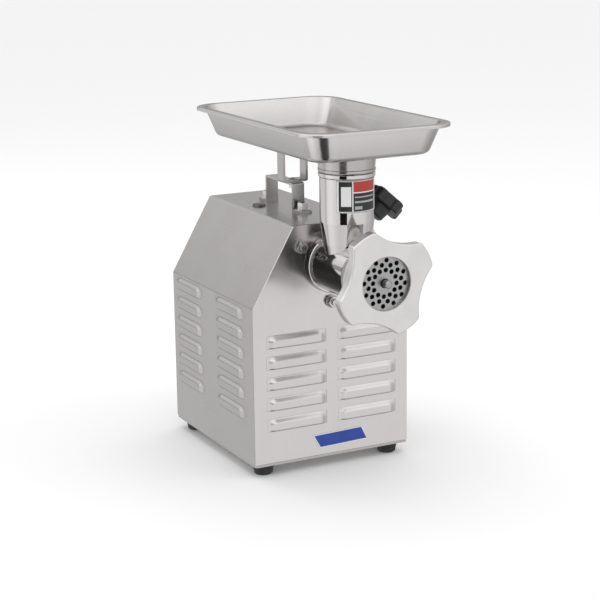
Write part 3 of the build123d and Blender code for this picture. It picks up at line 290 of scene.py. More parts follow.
METAL_EDGE, CASTING_EDGE = 0.0006, 0.0008
AS_CAST_TONE, AS_CAST_ROUGH, AS_CAST_BLEND = (0.66, 0.65, 0.635), 0.52, 0.001


def metal(name, base, rough, stretch, grain, bump, marks, dim, matt_before=None, painted_shading_by_height=None):
    """Bare metal with grain, wipe marks and softened edges.

    matt_before is a place along Y in front of which the piece is left as cast. painted_shading_by_height is a
    stretch of height with the share of the tone at its foot and at its top, a painted shade below and a painted
    highlight above.
    """
    made, tree, where = blank_material(name)
    streaks = group(tree, "brushed_grain", Vector=where, Stretch=stretch)
    wiped = group(tree, "handling_marks", Vector=where, Scale=14.0, Spots=0.04)
    worn = group(tree, "edge_wear", Radius=METAL_EDGE, Vector=where)
    grainy = maths(tree, "MULTIPLY_ADD", streaks["Mask"], grain, rough - grain / 2)
    total = maths(tree, "MULTIPLY_ADD", wiped["Mask"], marks, grainy, clamp=True)
    tone = shade(tree, times(tree, streaks["Mask"], 0.75), base, tuple(c * dim for c in base))
    # Painted shading: the tone is scaled by height, darker towards the floor and lighter towards the rim.
    if painted_shading_by_height:
        painted_shading_level = ramp(tree, split_xyz(tree, where)["Z"], *painted_shading_by_height, "SMOOTHSTEP")
        tone = put(tree, "ShaderNodeVectorMath", {"operation": "SCALE"},
                   {0: tone, "Scale": painted_shading_level}).outputs[0]
    if matt_before is not None:
        cast = ramp(tree, split_xyz(tree, where)["Y"], matt_before - AS_CAST_BLEND,
                    matt_before + AS_CAST_BLEND, 1.0, 0.0, "SMOOTHSTEP")
        total = mix(tree, cast, total, AS_CAST_ROUGH)
        tone = shade(tree, cast, tone, AS_CAST_TONE)
    dress(tree, tone, total, 1.0, bump, 0.0002, streaks["Height"], worn["Normal"])
    return made


def casting(name, base, rough, grain, bump, pits, dim, metallic, lift):
    """Cast metal or moulded plastic with a sandy skin and brighter worn edges."""
    made, tree, where = blank_material(name)
    skin = group(tree, "cast_skin", Vector=where, Grain=grain, Pits=pits)
    wiped = group(tree, "handling_marks", Vector=where, Scale=30.0, Spots=0.2)
    worn = group(tree, "edge_wear", Radius=CASTING_EDGE, Vector=where)
    body = shade(tree, times(tree, wiped["Mask"], 0.6), base, tuple(c * dim for c in base))
    tone = shade(tree, worn["Mask"], body, tuple(min(1.0, c * lift) for c in base))
    uneven = maths(tree, "MULTIPLY_ADD", wiped["Mask"], 0.08, rough)
    total = maths(tree, "MULTIPLY_ADD", skin["Mask"], 0.06, uneven)
    dress(tree, tone, total, metallic, bump, 0.0003, skin["Height"], worn["Normal"])
    return made


# How the grain of a metal is stretched: noise cycles per metre along X, Y and Z.
UPRIGHT = (700.0, 700.0, 12.0)
LENGTHWISE = (700.0, 12.0, 700.0)
EVERY_WAY = (260.0, 260.0, 260.0)
STACKED = (60.0, 2600.0, 60.0)
WOUND = (900.0, 900.0, 900.0)

# Colour, roughness, stretch, what the grain adds to the roughness, strength of the bump, what wipe
# marks add to the roughness, and the share of the colour that dark streaks keep.
METALS = {
    "polished_stainless": ((0.63, 0.61, 0.605), 0.19, UPRIGHT, 0.05, 0.03, 0.05, 0.95),
    "brushed_stainless": ((0.455, 0.44, 0.435), 0.24, LENGTHWISE, 0.03, 0.015, 0.05, 0.96),
    "pressed_stainless": ((0.645, 0.625, 0.62), 0.33, UPRIGHT, 0.05, 0.02, 0.05, 0.96),
    "tray_stainless": ((0.55, 0.535, 0.525), 0.17, LENGTHWISE, 0.06, 0.05, 0.06, 0.88),
    "polished_casting": ((0.62, 0.60, 0.595), 0.06, EVERY_WAY, 0.02, 0.01, 0.04, 0.96),
    # blade_steel is near black: painted shade on the knife, for the dark chamber seen through the plate's holes.
    "blade_steel": ((0.06, 0.06, 0.06), 0.45, EVERY_WAY, 0.10, 0.1, 0.08, 0.8),
    "tool_steel": ((0.42, 0.42, 0.42), 0.30, EVERY_WAY, 0.10, 0.2, 0.10, 0.8),
    "fastener_steel": ((0.62, 0.61, 0.60), 0.22, EVERY_WAY, 0.08, 0.1, 0.08, 0.85),
    "dark_fastener": ((0.16, 0.15, 0.14), 0.38, EVERY_WAY, 0.10, 0.1, 0.10, 0.7),
    "lamination": ((0.22, 0.21, 0.20), 0.42, STACKED, 0.10, 0.6, 0.08, 0.55),
    "winding_copper": ((0.62, 0.27, 0.10), 0.30, WOUND, 0.10, 0.6, 0.05, 0.55),
}
# The tray has painted shade down at its floor and a painted highlight up at its rim, and the head is left as cast
# in front of its polished barrel.
METAL_EXTRAS = {
    "tray_stainless": {"painted_shading_by_height": (0.396, 0.431, 0.88, 1.10)},
    "polished_casting": {"matt_before": -0.1430},
}

# Colour, roughness, grain, strength of the bump, depth of the pits, share of the colour that wiped
# places keep, metallic, and the share of the colour on worn edges.
CASTINGS = {
    "matt_casting": ((0.72, 0.705, 0.695), 0.36, 900.0, 0.25, 0.2, 0.93, 1.0, 1.15),
    "cast_aluminium": ((0.50, 0.50, 0.51), 0.48, 700.0, 0.5, 0.4, 0.85, 1.0, 1.15),
    "motor_paint": ((0.05, 0.055, 0.062), 0.40, 600.0, 0.25, 0.1, 0.8, 0.0, 3.0),
    "black_plastic": ((0.010, 0.010, 0.011), 0.36, 1300.0, 0.2, 0.2, 0.7, 0.0, 2.6),
    "grey_plastic": ((0.30, 0.30, 0.30), 0.42, 1200.0, 0.2, 0.1, 0.9, 0.0, 1.2),
    "green_plastic": ((0.02, 0.30, 0.07), 0.28, 1200.0, 0.08, 0.0, 0.85, 0.0, 1.4),
    "red_plastic": ((0.50, 0.018, 0.015), 0.28, 1200.0, 0.08, 0.0, 0.85, 0.0, 1.4),
    "black_rubber": ((0.012, 0.012, 0.012), 0.62, 1500.0, 0.35, 0.3, 0.8, 0.0, 2.5),
    "badge_blue": ((0.012, 0.045, 0.32), 0.30, 1500.0, 0.05, 0.0, 0.9, 0.0, 1.2),
    "ink_white": ((0.72, 0.72, 0.72), 0.35, 1500.0, 0.05, 0.0, 0.92, 0.0, 1.05),
    "ink_black": ((0.014, 0.014, 0.014), 0.35, 1500.0, 0.05, 0.0, 0.8, 0.0, 1.6),
    "ink_red": ((0.46, 0.035, 0.025), 0.35, 1500.0, 0.05, 0.0, 0.85, 0.0, 1.2),
    "ink_grey": ((0.40, 0.40, 0.40), 0.35, 1500.0, 0.05, 0.0, 0.9, 0.0, 1.1),
    "label_film": ((0.80, 0.80, 0.80), 0.35, 1500.0, 0.05, 0.0, 0.95, 0.0, 1.05),
}

FINISH = {}


def make_finishes():
    """Make every material of the grinder and keep it under its own name."""
    for builder in (brushed_grain_group, handling_marks_group, cast_skin_group, edge_wear_group):
        tree = builder()
        GROUPS[tree.name] = tree
    for name, values in METALS.items():
        FINISH[name] = metal(name, *values, **METAL_EXTRAS.get(name, {}))
    for name, values in CASTINGS.items():
        FINISH[name] = casting(name, *values)


# ---- Piece tools ------------------------------------------------------------------------------
def show(name, mesh):
    """Put a mesh in the scene under a name."""
    piece = bpy.data.objects.new(name, mesh)
    bpy.context.scene.collection.objects.link(piece)
    return piece


def settle(piece, body, slot, *nodes):
    """Let a finished piece ride on its body and hide the CAD nodes that it stands for; slot is not used."""
    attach(piece, body)
    if nodes:
        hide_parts(*nodes)
    return piece


def smoothed(mesh, angle=32.0):
    """Smooth shading with sharp edges kept where faces meet at more than an angle in degrees."""
    mesh.polygons.foreach_set("use_smooth", [True] * len(mesh.polygons))
    mesh.set_sharp_from_angle(angle=math.radians(angle))
    mesh.update()
    return mesh


def from_bmesh(name, work, finishes):
    """Turn a bmesh into a named object with its materials."""
    mesh = bpy.data.meshes.new(name)
    work.to_mesh(mesh)
    work.free()
    for finish in finishes:
        mesh.materials.append(finish)
    return show(name, smoothed(mesh))


def thicken(piece, thickness):
    """Give a sheet its thickness, inwards."""
    wall = piece.modifiers.new("wall", "SOLIDIFY")
    wall.thickness = thickness
    wall.offset = -1.0
    wall.use_even_offset = True
    return piece


def ease(piece, width, segments, angle=None):
    """Round the edges sharper than an angle in degrees or, with no angle, those with a bevel weight."""
    round_off = piece.modifiers.new("eased_edges", "BEVEL")
    round_off.width = width
    round_off.segments = segments
    round_off.limit_method = "ANGLE" if angle else "WEIGHT"
    if angle:
        round_off.angle_limit = math.radians(angle)
    return piece


def baked(piece):
    """Make a piece's modifiers real, then weigh its normals so that flat faces stay flat."""
    bpy.context.view_layer.update()
    mesh = bpy.data.meshes.new_from_object(piece.evaluated_get(bpy.context.evaluated_depsgraph_get()))
    piece.modifiers.clear()
    old, piece.data = piece.data, smoothed(mesh)
    bpy.data.meshes.remove(old)
    mesh.name = piece.name
    flat = piece.modifiers.new("flat_faces", "WEIGHTED_NORMAL")
    flat.weight = 100
    flat.keep_sharp = True
    return piece


def weigh_outline(work, keep):
    """Set the bevel weight of the open edges for which keep(edge) holds."""
    layer = work.edges.layers.float.new("bevel_weight_edge")
    for edge in work.edges:
        if edge.is_boundary and keep(edge):
            edge[layer] = 1.0


def sheet_with_holes(work, outline, holes, place):
    """Fill an outline with holes, drawn in two coordinates, and put it in space."""
    edges = []
    for loop in (outline, *holes):
        corners = [work.verts.new(place(*point)) for point in loop]
        edges += [work.edges.new((corners[i - 1], corners[i])) for i in range(len(corners))]
    filled = bmesh.ops.triangle_fill(work, use_beauty=True, use_dissolve=True, edges=edges)
    return [part for part in filled["geom"] if isinstance(part, bmesh.types.BMFace)]


def face_along(faces, direction):
    """Turn flat faces so that they point along a direction."""
    for face in faces:
        face.normal_update()
        if face.normal.dot(direction) < 0:
            face.normal_flip()


def ring_points(radius, count, x=0.0, z=0.0):
    """Points of a circle."""
    return [(x + radius * math.cos(2 * math.pi * k / count), z + radius * math.sin(2 * math.pi * k / count))
            for k in range(count)]


# ---- Geometry node tools ----------------------------------------------------------------------
def grown_tree(name, inputs):
    """An empty geometry tree with named inputs."""
    tree = bpy.data.node_groups.new(name, "GeometryNodeTree")
    tree.interface.new_socket("Geometry", in_out="INPUT", socket_type="NodeSocketGeometry")
    add_inputs(tree, inputs)
    tree.interface.new_socket("Geometry", in_out="OUTPUT", socket_type="NodeSocketGeometry")
    return tree, tree.nodes.new("NodeGroupInput"), tree.nodes.new("NodeGroupOutput")


def end_tree(tree, end, geometry, finish):
    """Realize the instances and set the material, as the last steps of a tree."""
    real = put(tree, "GeometryNodeRealizeInstances", None, {0: geometry})
    painted = put(tree, "GeometryNodeSetMaterial", None, {0: real, "Material": finish})
    tree.links.new(painted.outputs[0], end.inputs[0])


def grown_mesh(name, tree, values, points=()):
    """Run a tree on some points and return the result as a plain mesh."""
    seed_mesh = bpy.data.meshes.new(name + "_seed")
    seed_mesh.from_pydata([tuple(p) for p in points], [], [])
    seed = show(name + "_seed", seed_mesh)
    grower = seed.modifiers.new("grow", "NODES")
    grower.node_group = tree
    for item in tree.interface.items_tree:
        if item.item_type == "SOCKET" and item.in_out == "INPUT" and item.name in values:
            grower[item.identifier] = values[item.name]
    bpy.context.view_layer.update()
    grown = seed.evaluated_get(bpy.context.evaluated_depsgraph_get())
    mesh = bpy.data.meshes.new_from_object(grown)
    mesh.name = name
    seed.modifiers.remove(grower)
    bpy.data.objects.remove(seed)
    return mesh


def moved(tree, geometry, **values):
    """Geometry after a Transform node."""
    return put(tree, "GeometryNodeTransform", None, {"Geometry": geometry, **values}).outputs[0]


def lifted(tree, geometry, height):
    """Geometry raised along Z."""
    return moved(tree, geometry, Translation=join_xyz(tree, 0.0, 0.0, height))


def cylinder(tree, sides, radius, depth):
    """A closed cylinder about the middle."""
    sockets = {"Vertices": sides, "Radius": radius, "Depth": depth}
    return put(tree, "GeometryNodeMeshCylinder", {"fill_type": "NGON"}, sockets).outputs["Mesh"]


def grid(tree, width, depth, columns, rows):
    """A flat grid about the middle."""
    sockets = {"Size X": width, "Size Y": depth, "Vertices X": columns, "Vertices Y": rows}
    return put(tree, "GeometryNodeMeshGrid", None, sockets).outputs["Mesh"]


def placed(tree, geometry, position):
    """Geometry with each point at a new position."""
    return put(tree, "GeometryNodeSetPosition", None, {0: geometry, "Position": position}).outputs[0]


def repeated(tree, points, instance):
    """One instance on each point."""
    sockets = {"Points": points, "Instance": instance}
    return put(tree, "GeometryNodeInstanceOnPoints", None, sockets).outputs[0]


def gathered(tree, parts):
    """Several geometries as one."""
    node = tree.nodes.new("GeometryNodeJoinGeometry")
    for part in parts:
        tree.links.new(part, node.inputs[0])
    return node.outputs[0]


def inside_arch(tree, along, up, half_length, height, corner):
    """How far a point lies inside an arch with rounded upper corners and an open foot."""
    out_x = minus(tree, maths(tree, "ABSOLUTE", along), minus(tree, half_length, corner))
    out_z = minus(tree, up, minus(tree, height, corner))
    outside = join_xyz(tree, maths(tree, "MAXIMUM", out_x, 0.0), maths(tree, "MAXIMUM", out_z, 0.0), 0.0)
    past = put(tree, "ShaderNodeVectorMath", {"operation": "LENGTH"}, {0: outside}).outputs["Value"]
    within = maths(tree, "MINIMUM", maths(tree, "MAXIMUM", out_x, out_z), 0.0)
    return minus(tree, corner, plus(tree, past, within))


END_SQUEEZE = 0.65  # the flank above a louvre's flat is this share of the flanks at its ends
LIP_RISE = 0.55     # share of the hood's height at its open foot


def louvre_tree():
    """Rows and columns of one pressed louvre, drawn outwards along -Y."""
    tree, start, end = grown_tree("louvre_rows", {
        "Length": 0.08, "Height": 0.016, "Out": 0.0046, "Corner": 0.008, "Flank": 0.006,
        "Lip": 0.0022, "Columns": 2, "Column pitch": 0.096, "Rows": 5, "Row pitch": 0.0257,
        "Place": (0.0, 0.0, 0.0), "Turn": (0.0, 0.0, 0.0), "Finish": None})
    part = start.outputs
    patch = grid(tree, part["Length"], part["Height"], 81, 33)
    spot = split_xyz(tree, put(tree, "GeometryNodeInputPosition").outputs[0])
    up = plus(tree, spot["Y"], times(tree, part["Height"], 0.5))
    half = times(tree, part["Length"], 0.5)
    within = inside_arch(tree, times(tree, spot["X"], END_SQUEEZE), up, times(tree, half, END_SQUEEZE),
                         part["Height"], part["Corner"])
    hood = ramp(tree, within, 0.0, part["Flank"], 0.0, part["Out"], "SMOOTHSTEP")
    out = times(tree, hood, ramp(tree, up, 0.0, part["Lip"], LIP_RISE, 1.0, "SMOOTHSTEP"))
    pressed = placed(tree, patch, join_xyz(tree, spot["X"], times(tree, out, -1.0), up))
    wide = times(tree, minus(tree, part["Columns"], 1.0), part["Column pitch"])
    tall = times(tree, minus(tree, part["Rows"], 1.0), part["Row pitch"])
    seats = grid(tree, wide, tall, part["Columns"], part["Rows"])
    height = plus(tree, spot["Y"], times(tree, tall, 0.5))
    rows = repeated(tree, placed(tree, seats, join_xyz(tree, spot["X"], 0.0, height)), pressed)
    end_tree(tree, end, moved(tree, rows, Translation=part["Place"], Rotation=part["Turn"]), part["Finish"])
    return tree


def plate_tree():
    """A round plate with rings of holes, drawn in the XY plane with its face up."""
    tree, start, end = grown_tree("perforated_plate", {
        "Radius": 0.035, "Thickness": 0.008, "Bore": 0.0055, "Hole": 0.00275, "Hole count": 12,
        "Turn": 0.0, "Inner ring": 0.0153, "Middle ring": 0.0215, "Outer ring": 0.0267,
        "Finish": None})
    part = start.outputs
    disc = cylinder(tree, 128, part["Radius"], part["Thickness"])
    deep = times(tree, part["Thickness"], 1.5)
    drill = cylinder(tree, 24, part["Hole"], deep)
    tools = [cylinder(tree, 48, part["Bore"], deep)]
    for ring, shift in (("Inner ring", 0.0), ("Middle ring", 0.5), ("Outer ring", 0.0)):
        circle = put(tree, "GeometryNodeMeshCircle", None,
                     {"Vertices": part["Hole count"], "Radius": part[ring]})
        share = maths(tree, "DIVIDE", 2 * math.pi * shift, part["Hole count"])
        turn = join_xyz(tree, 0.0, 0.0, plus(tree, share, part["Turn"]))
        drills = repeated(tree, moved(tree, circle.outputs["Mesh"], Rotation=turn), drill)
        tools.append(put(tree, "GeometryNodeRealizeInstances", None, {0: drills}).outputs[0])
    cut = put(tree, "GeometryNodeMeshBoolean", {"operation": "DIFFERENCE", "solver": "EXACT"},
              {"Mesh 1": disc, "Mesh 2": gathered(tree, tools)})
    end_tree(tree, end, cut.outputs["Mesh"], part["Finish"])
    return tree


CHAMFER_SPREAD = 1.4  # how far the cone that chamfers a head widens, for each metre of its height


def hexagon_tree():
    """Chamfered hexagons with a washer and a thread end on every point, standing up along +Z."""
    tree, start, end = grown_tree("hexagon_fasteners", {
        "Across flats": 0.010, "Height": 0.006, "Washer": 0.008, "Washer height": 0.0016,
        "Thread": 0.003, "Thread end": 0.0, "Turn": (0.0, 0.0, 0.0), "Finish": None})
    part = start.outputs
    corner = maths(tree, "DIVIDE", part["Across flats"], math.sqrt(3.0))
    prism = cylinder(tree, 6, corner, part["Height"])
    flat = times(tree, part["Across flats"], 0.5)
    foot = plus(tree, flat, times(tree, part["Height"], CHAMFER_SPREAD))
    dome = put(tree, "GeometryNodeMeshCone", {"fill_type": "NGON"},
               {"Vertices": 48, "Radius Top": flat, "Radius Bottom": foot, "Depth": part["Height"]})
    sunk = lifted(tree, dome.outputs["Mesh"], times(tree, part["Height"], -0.5))
    head = put(tree, "GeometryNodeMeshBoolean", {"operation": "INTERSECT", "solver": "EXACT"})
    for solid in (prism, sunk):
        tree.links.new(solid, head.inputs["Mesh 2"])
    middle = plus(tree, part["Washer height"], times(tree, part["Height"], 0.5))
    washer = cylinder(tree, 48, part["Washer"], part["Washer height"])
    top = plus(tree, plus(tree, part["Washer height"], part["Height"]), part["Thread end"])
    thread = cylinder(tree, 32, part["Thread"], top)
    whole = gathered(tree, (
        lifted(tree, head.outputs["Mesh"], middle),
        lifted(tree, washer, times(tree, part["Washer height"], 0.5)),
        lifted(tree, thread, times(tree, top, 0.5))))
    turned = moved(tree, whole, Rotation=part["Turn"])
    end_tree(tree, end, repeated(tree, start.outputs["Geometry"], turned), part["Finish"])
    return tree


# ---- Operators --------------------------------------------------------------------------------
class GRINDER_OT_finishes(bpy.types.Operator):
    """Build the materials and give each CAD piece its own"""
    bl_idname = "grinder.finishes"
    bl_label = "Finishes"

    def execute(self, context):
        make_finishes()
        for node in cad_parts.values():
            for index, held in enumerate(node.data.materials):
                node.data.materials[index] = FINISH[held.name.split(".")[0]]
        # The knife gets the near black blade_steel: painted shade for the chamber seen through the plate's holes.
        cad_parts["knife"].data.materials[0] = FINISH["blade_steel"]
        return {"FINISHED"}


def end_outline():
    """Front outline of the housing, with its folds rounded, as (x, z) points."""
    sheet = bpy.context.scene.grinder_sheet
    low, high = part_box("front_panel")
    half, flat = high.x, sheet.top_width / 2
    corners = [(half, low.z), (half, sheet.shoulder), (flat, high.z), (-flat, high.z),
               (-half, sheet.shoulder), (-half, low.z)]
    points = [corners[0]]
    for before, corner, after in zip(corners, corners[1:], corners[2:]):
        points += rounded_corner(corner, before, after, sheet.bend)
    return points + [corners[-1]]


def rounded_corner(corner, before, after, radius, steps=5):
    """Points of the arc that rounds a corner of an outline."""
    here = Vector(corner)
    one, two = (Vector(before) - here).normalized(), (Vector(after) - here).normalized()
    half = one.angle(two) / 2
    reach = radius / math.tan(half)
    centre = here + (one + two).normalized() * (radius / math.sin(half))
    first, last = here + one * reach - centre, here + two * reach - centre
    return [tuple(centre + first.slerp(last, k / steps) * radius) for k in range(steps + 1)]


def rectangle(left, right, foot, top):
    """Corners of a rectangle."""
    return [(left, foot), (right, foot), (right, top), (left, top)]


def louvre_holes(columns, length, first, pitch, rows):
    """Rectangles that the louvres of one panel fill."""
    height = bpy.context.scene.grinder_louvres.height
    return [rectangle(middle - length / 2, middle + length / 2, z, z + height)
            for middle in columns for z in (first + pitch * k for k in range(rows))]


SWITCH_MARGIN = 0.0045  # the switch's frame covers this much of the sheet round its window
GLAND_HOLE = 0.0082     # radius of the hole for the cord's gland
INSIDE_HEIGHT = 0.1     # a height inside the housing, which every fold faces away from


class GRINDER_OT_housing(bpy.types.Operator):
    """Fold the housing: front sheet, rear sheet and the wrap between them"""
    bl_idname = "grinder.housing"
    bl_label = "Housing"

    def execute(self, context):
        sheet, press = context.scene.grinder_sheet, context.scene.grinder_louvres
        columns = (-press.end_pitch_x / 2, press.end_pitch_x / 2)
        holes = louvre_holes(columns, press.end_length, press.end_first, press.end_pitch_z, press.end_rows)
        front_y, rear_y = (corner.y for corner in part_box("base_plate"))
        socket = sum(c.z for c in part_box("output_shaft")) / 2
        opening = ring_points(sheet.socket_hole, 72, 0.0, socket)
        low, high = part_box("switch_body")
        window = rectangle(low.x + SWITCH_MARGIN, high.x - SWITCH_MARGIN,
                           low.z + SWITCH_MARGIN, high.z - SWITCH_MARGIN)
        low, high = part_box("cord_gland")
        gland = ring_points(GLAND_HOLE, 32, (low.x + high.x) / 2, (low.z + high.z) / 2)
        outside = [Vector((x, 0.0, z)) for x, z in end_outline()]

        def on_outline(edge):
            middle = sum((v.co for v in edge.verts), Vector()) / 2
            flat = Vector((middle.x, 0.0, middle.z))
            ends = zip(outside, outside[1:] + outside[:1])
            return any((flat - (a + b) / 2).length < 1e-5 for a, b in ends)

        for name, y, towards, finish, extra in (
                ("front_sheet", front_y, -1, "polished_stainless", [opening]),
                ("rear_sheet", rear_y, 1, "brushed_stainless", [window, gland])):
            work = bmesh.new()
            faces = sheet_with_holes(work, end_outline(), holes + extra, lambda x, z: (x, y, z))
            face_along(faces, Vector((0, towards, 0)))
            weigh_outline(work, on_outline)
            piece = from_bmesh(name, work, [FINISH[finish]])
            baked(ease(thicken(piece, sheet.thickness), sheet.edge_round, 3))
            settle(piece, "root", finish, name.replace("sheet", "panel"))
        self.wrap(front_y + sheet.thickness, rear_y - sheet.thickness, sheet, press)
        return {"FINISHED"}

    def wrap(self, front, rear, sheet, press):
        """Both sides, both slopes and the top, from one bent sheet."""
        outline = end_outline()
        work = bmesh.new()
        middle = press.side_middle
        columns = (middle - press.side_pitch_y / 2, middle + press.side_pitch_y / 2)
        holes = louvre_holes(columns, press.side_length, press.side_first, press.side_pitch_z,
                             press.side_rows)
        bend = outline[1][1]
        for (x, base), side in ((outline[0], 1), (outline[-1], -1)):
            flat = rectangle(front, rear, base, bend)
            faces = sheet_with_holes(work, flat, holes, lambda y, z: (x, y, z))
            face_along(faces, Vector((side, 0, 0)))
        for (x0, z0), (x1, z1) in zip(outline[1:-2], outline[2:-1]):
            strip = ((x0, front, z0), (x0, rear, z0), (x1, rear, z1), (x1, front, z1))
            face = work.faces.new([work.verts.new(corner) for corner in strip])
            face_along([face], Vector(((x0 + x1) / 2, 0, (z0 + z1) / 2 - INSIDE_HEIGHT)))
        bmesh.ops.remove_doubles(work, verts=work.verts[:], dist=1e-6)
        piece = from_bmesh("housing_sheet", work, [FINISH["brushed_stainless"]])
        baked(thicken(piece, sheet.thickness))
        settle(piece, "root", "brushed_stainless", "housing_wrap")


LOUVRE_WALL = 0.75  # pressing thins the sheet to this share


class GRINDER_OT_louvres(bpy.types.Operator):
    """Press the louvres of the front, the rear and both sides"""
    bl_idname = "grinder.louvres"
    bl_label = "Louvres"

    def execute(self, context):
        press, sheet = context.scene.grinder_louvres, context.scene.grinder_sheet
        tree = louvre_tree()
        low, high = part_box("base_plate")
        hood_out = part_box("front_panel")[0].y
        shape = {"Height": press.height, "Out": (low.y - hood_out) * press.rise,
                 "Corner": press.corner, "Flank": press.flank}
        ends = {"Length": press.end_length, "Column pitch": press.end_pitch_x,
                "Rows": press.end_rows, "Row pitch": press.end_pitch_z}
        sides = {"Length": press.side_length, "Column pitch": press.side_pitch_y,
                 "Rows": press.side_rows, "Row pitch": press.side_pitch_z}
        side = (press.side_middle, press.side_first)
        for name, sizes, finish, node, place, quarters in (
                ("front_louvres", ends, "pressed_stainless", "front_panel",
                 (0.0, low.y, press.end_first), 0),
                ("rear_louvres", ends, "brushed_stainless", "rear_panel",
                 (0.0, high.y, press.end_first), 2),
                ("left_louvres", sides, "brushed_stainless", "housing_wrap", (low.x, *side), -1),
                ("right_louvres", sides, "brushed_stainless", "housing_wrap", (high.x, *side), 1)):
            mesh = grown_mesh(name, tree, {
                **shape, **sizes, "Place": place, "Turn": (0.0, 0.0, quarters * math.pi / 2),
                "Finish": FINISH[finish]})
            piece = thicken(show(name, smoothed(mesh, 60.0)), sheet.thickness * LOUVRE_WALL)
            settle(piece, "root", finish.replace("pressed", "polished"), node)
        return {"FINISHED"}


FINE_EDGE = 0.0002   # rounding of machined edges
EDGE_ANGLE = 35.0    # in degrees
PLATE_TURN = 85.0    # in degrees, from the plate's right-hand side up to its first hole


class GRINDER_OT_plate(bpy.types.Operator):
    """Drill the grinding plate"""
    bl_idname = "grinder.plate"
    bl_label = "Grinding plate"

    def execute(self, context):
        low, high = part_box("grinding_plate")
        mesh = grown_mesh("drilled_plate", plate_tree(), {
            "Radius": (high.x - low.x) / 2, "Thickness": high.y - low.y,
            "Turn": math.radians(PLATE_TURN), "Finish": FINISH["tool_steel"]})
        mesh.transform(Matrix.Translation((low + high) / 2) @ Matrix.Rotation(math.pi / 2, 4, "X"))
        piece = ease(show("drilled_plate", smoothed(mesh)), FINE_EDGE, 1, EDGE_ANGLE)
        settle(piece, "head", "tool_steel", "grinding_plate")
        return {"FINISHED"}


STUD_RADIUS = 0.004
STUD_ANGLES = (30.0, 150.0, 270.0)
STUD_HIDDEN = 0.0004   # the drawn thread ends this far short of the stud under it
BAR = 0.003            # thickness of the strap and of the cradle on it
BOLT_INSET = 0.009     # from an end of the strap to its bolt
# Across flats, height of the head, radius and height of the washer, and radius of the thread.
HEXAGON_SIZES = ("Across flats", "Height", "Washer", "Washer height", "Thread")
NUT = (0.013, 0.0065, 0.0082, 0.0015, 0.0041)
BOLT = (0.012, 0.0078, 0.0095, 0.0018, 0.0035)
RIVET = (0.005, 0.0005, 0.0045, 0.0008, 0.0015)


class GRINDER_OT_fasteners(bpy.types.Operator):
    """Set the hexagon nuts and bolts with their washers"""
    bl_idname = "grinder.fasteners"
    bl_label = "Nuts and bolts"

    def execute(self, context):
        tree = hexagon_tree()
        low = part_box("socket_studs")[0]
        axis = sum(c.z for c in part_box("output_shaft")) / 2
        circle = axis - low.z - STUD_RADIUS
        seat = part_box("base_plate")[0].y
        studs = [(circle * math.cos(math.radians(a)), seat, axis + circle * math.sin(math.radians(a)))
                 for a in STUD_ANGLES]
        end = seat - low.y - NUT[1] - NUT[3] - STUD_HIDDEN
        strap_low, strap_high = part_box("bridge_strap")
        cradle_low, cradle_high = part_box("tray_cradle")
        bolts = [(0.0, y, strap_low.z + BAR)
                 for y in (strap_low.y + BOLT_INSET, strap_high.y - BOLT_INSET)]
        rivet = (0.0, (cradle_low.y + cradle_high.y) / 2, cradle_low.z + BAR)
        for name, sizes, end, turn, points, nodes in (
                ("stud_nuts", NUT, end, math.pi / 2, studs, ["socket_nuts"]),
                ("strap_bolts", BOLT, 0.0, 0.0, bolts, ["bracket_bolts"]),
                ("cradle_rivet", RIVET, 0.0, 0.0, [rivet], [])):
            values = dict(zip(HEXAGON_SIZES, sizes))
            mesh = grown_mesh(name, tree, {
                **values, "Thread end": end, "Turn": (turn, 0.0, 0.0),
                "Finish": FINISH["fastener_steel"]}, points)
            piece = ease(show(name, smoothed(mesh)), FINE_EDGE, 2, EDGE_ANGLE)
            settle(piece, "root", "fastener_steel", *nodes)
        return {"FINISHED"}


def printed_cells(name, across, up, ink_of, place, inks):
    """A thin printed film made of cells; ink_of says which ink a cell has."""
    work = bmesh.new()
    grid = [[work.verts.new(place(a, z)) for a in across] for z in up]
    for row in range(len(up) - 1):
        for col in range(len(across) - 1):
            corners = (grid[row][col], grid[row][col + 1], grid[row + 1][col + 1], grid[row + 1][col])
            face = work.faces.new(corners)
            face.material_index = ink_of((across[col] + across[col + 1]) / 2, (up[row] + up[row + 1]) / 2)
    bmesh.ops.recalc_face_normals(work, faces=work.faces[:])
    return from_bmesh(name, work, inks)


def spaced(marks, step):
    """Marks with even steps between them, none wider than a step."""
    points = []
    for a, b in zip(marks, marks[1:]):
        count = max(1, math.ceil((b - a) / step))
        points += [a + (b - a) * k / count for k in range(count)]
    return points + [marks[-1]]


LABEL_STEP = 0.0027    # the tray's spigot reaches this much further out than the label's throat
LABEL_FILM = 0.00025
LABEL_EDGE = 51.0      # half the label's width, in degrees round the throat
FILM_STEP = 4.0        # widest flat cell of the film, in degrees
LABEL_INKS = ("label_film", "ink_black", "ink_red", "ink_grey")
# Fields of the label on its film: ink, start and end in degrees round the throat, and start and end
# as shares of the label's height. A later field covers an earlier one.
LABEL_FIELDS = (
    ("ink_black", -45.5, -17.5, 0.045, 0.955),
    ("label_film", -40.5, -19.5, 0.20, 0.80),
    ("ink_black", -15.0, 44.5, 0.045, 0.60),
    ("ink_red", -15.0, 44.5, 0.635, 0.955),
    ("ink_grey", -12.0, 40.0, 0.46, 0.50),
    ("ink_grey", -12.0, 40.0, 0.30, 0.36),
    ("ink_grey", -12.0, 5.0, 0.10, 0.20),
)
BADGE_LEAN, BADGE_RISE = 0.009, 0.002   # how far its ends and its long edges slope
BADGE_TRIM = 0.001                      # its lower left corner stands this much further in
BADGE_BORDER, BADGE_STEP, BADGE_DEPTH = 0.0013, 0.0002, -0.00015


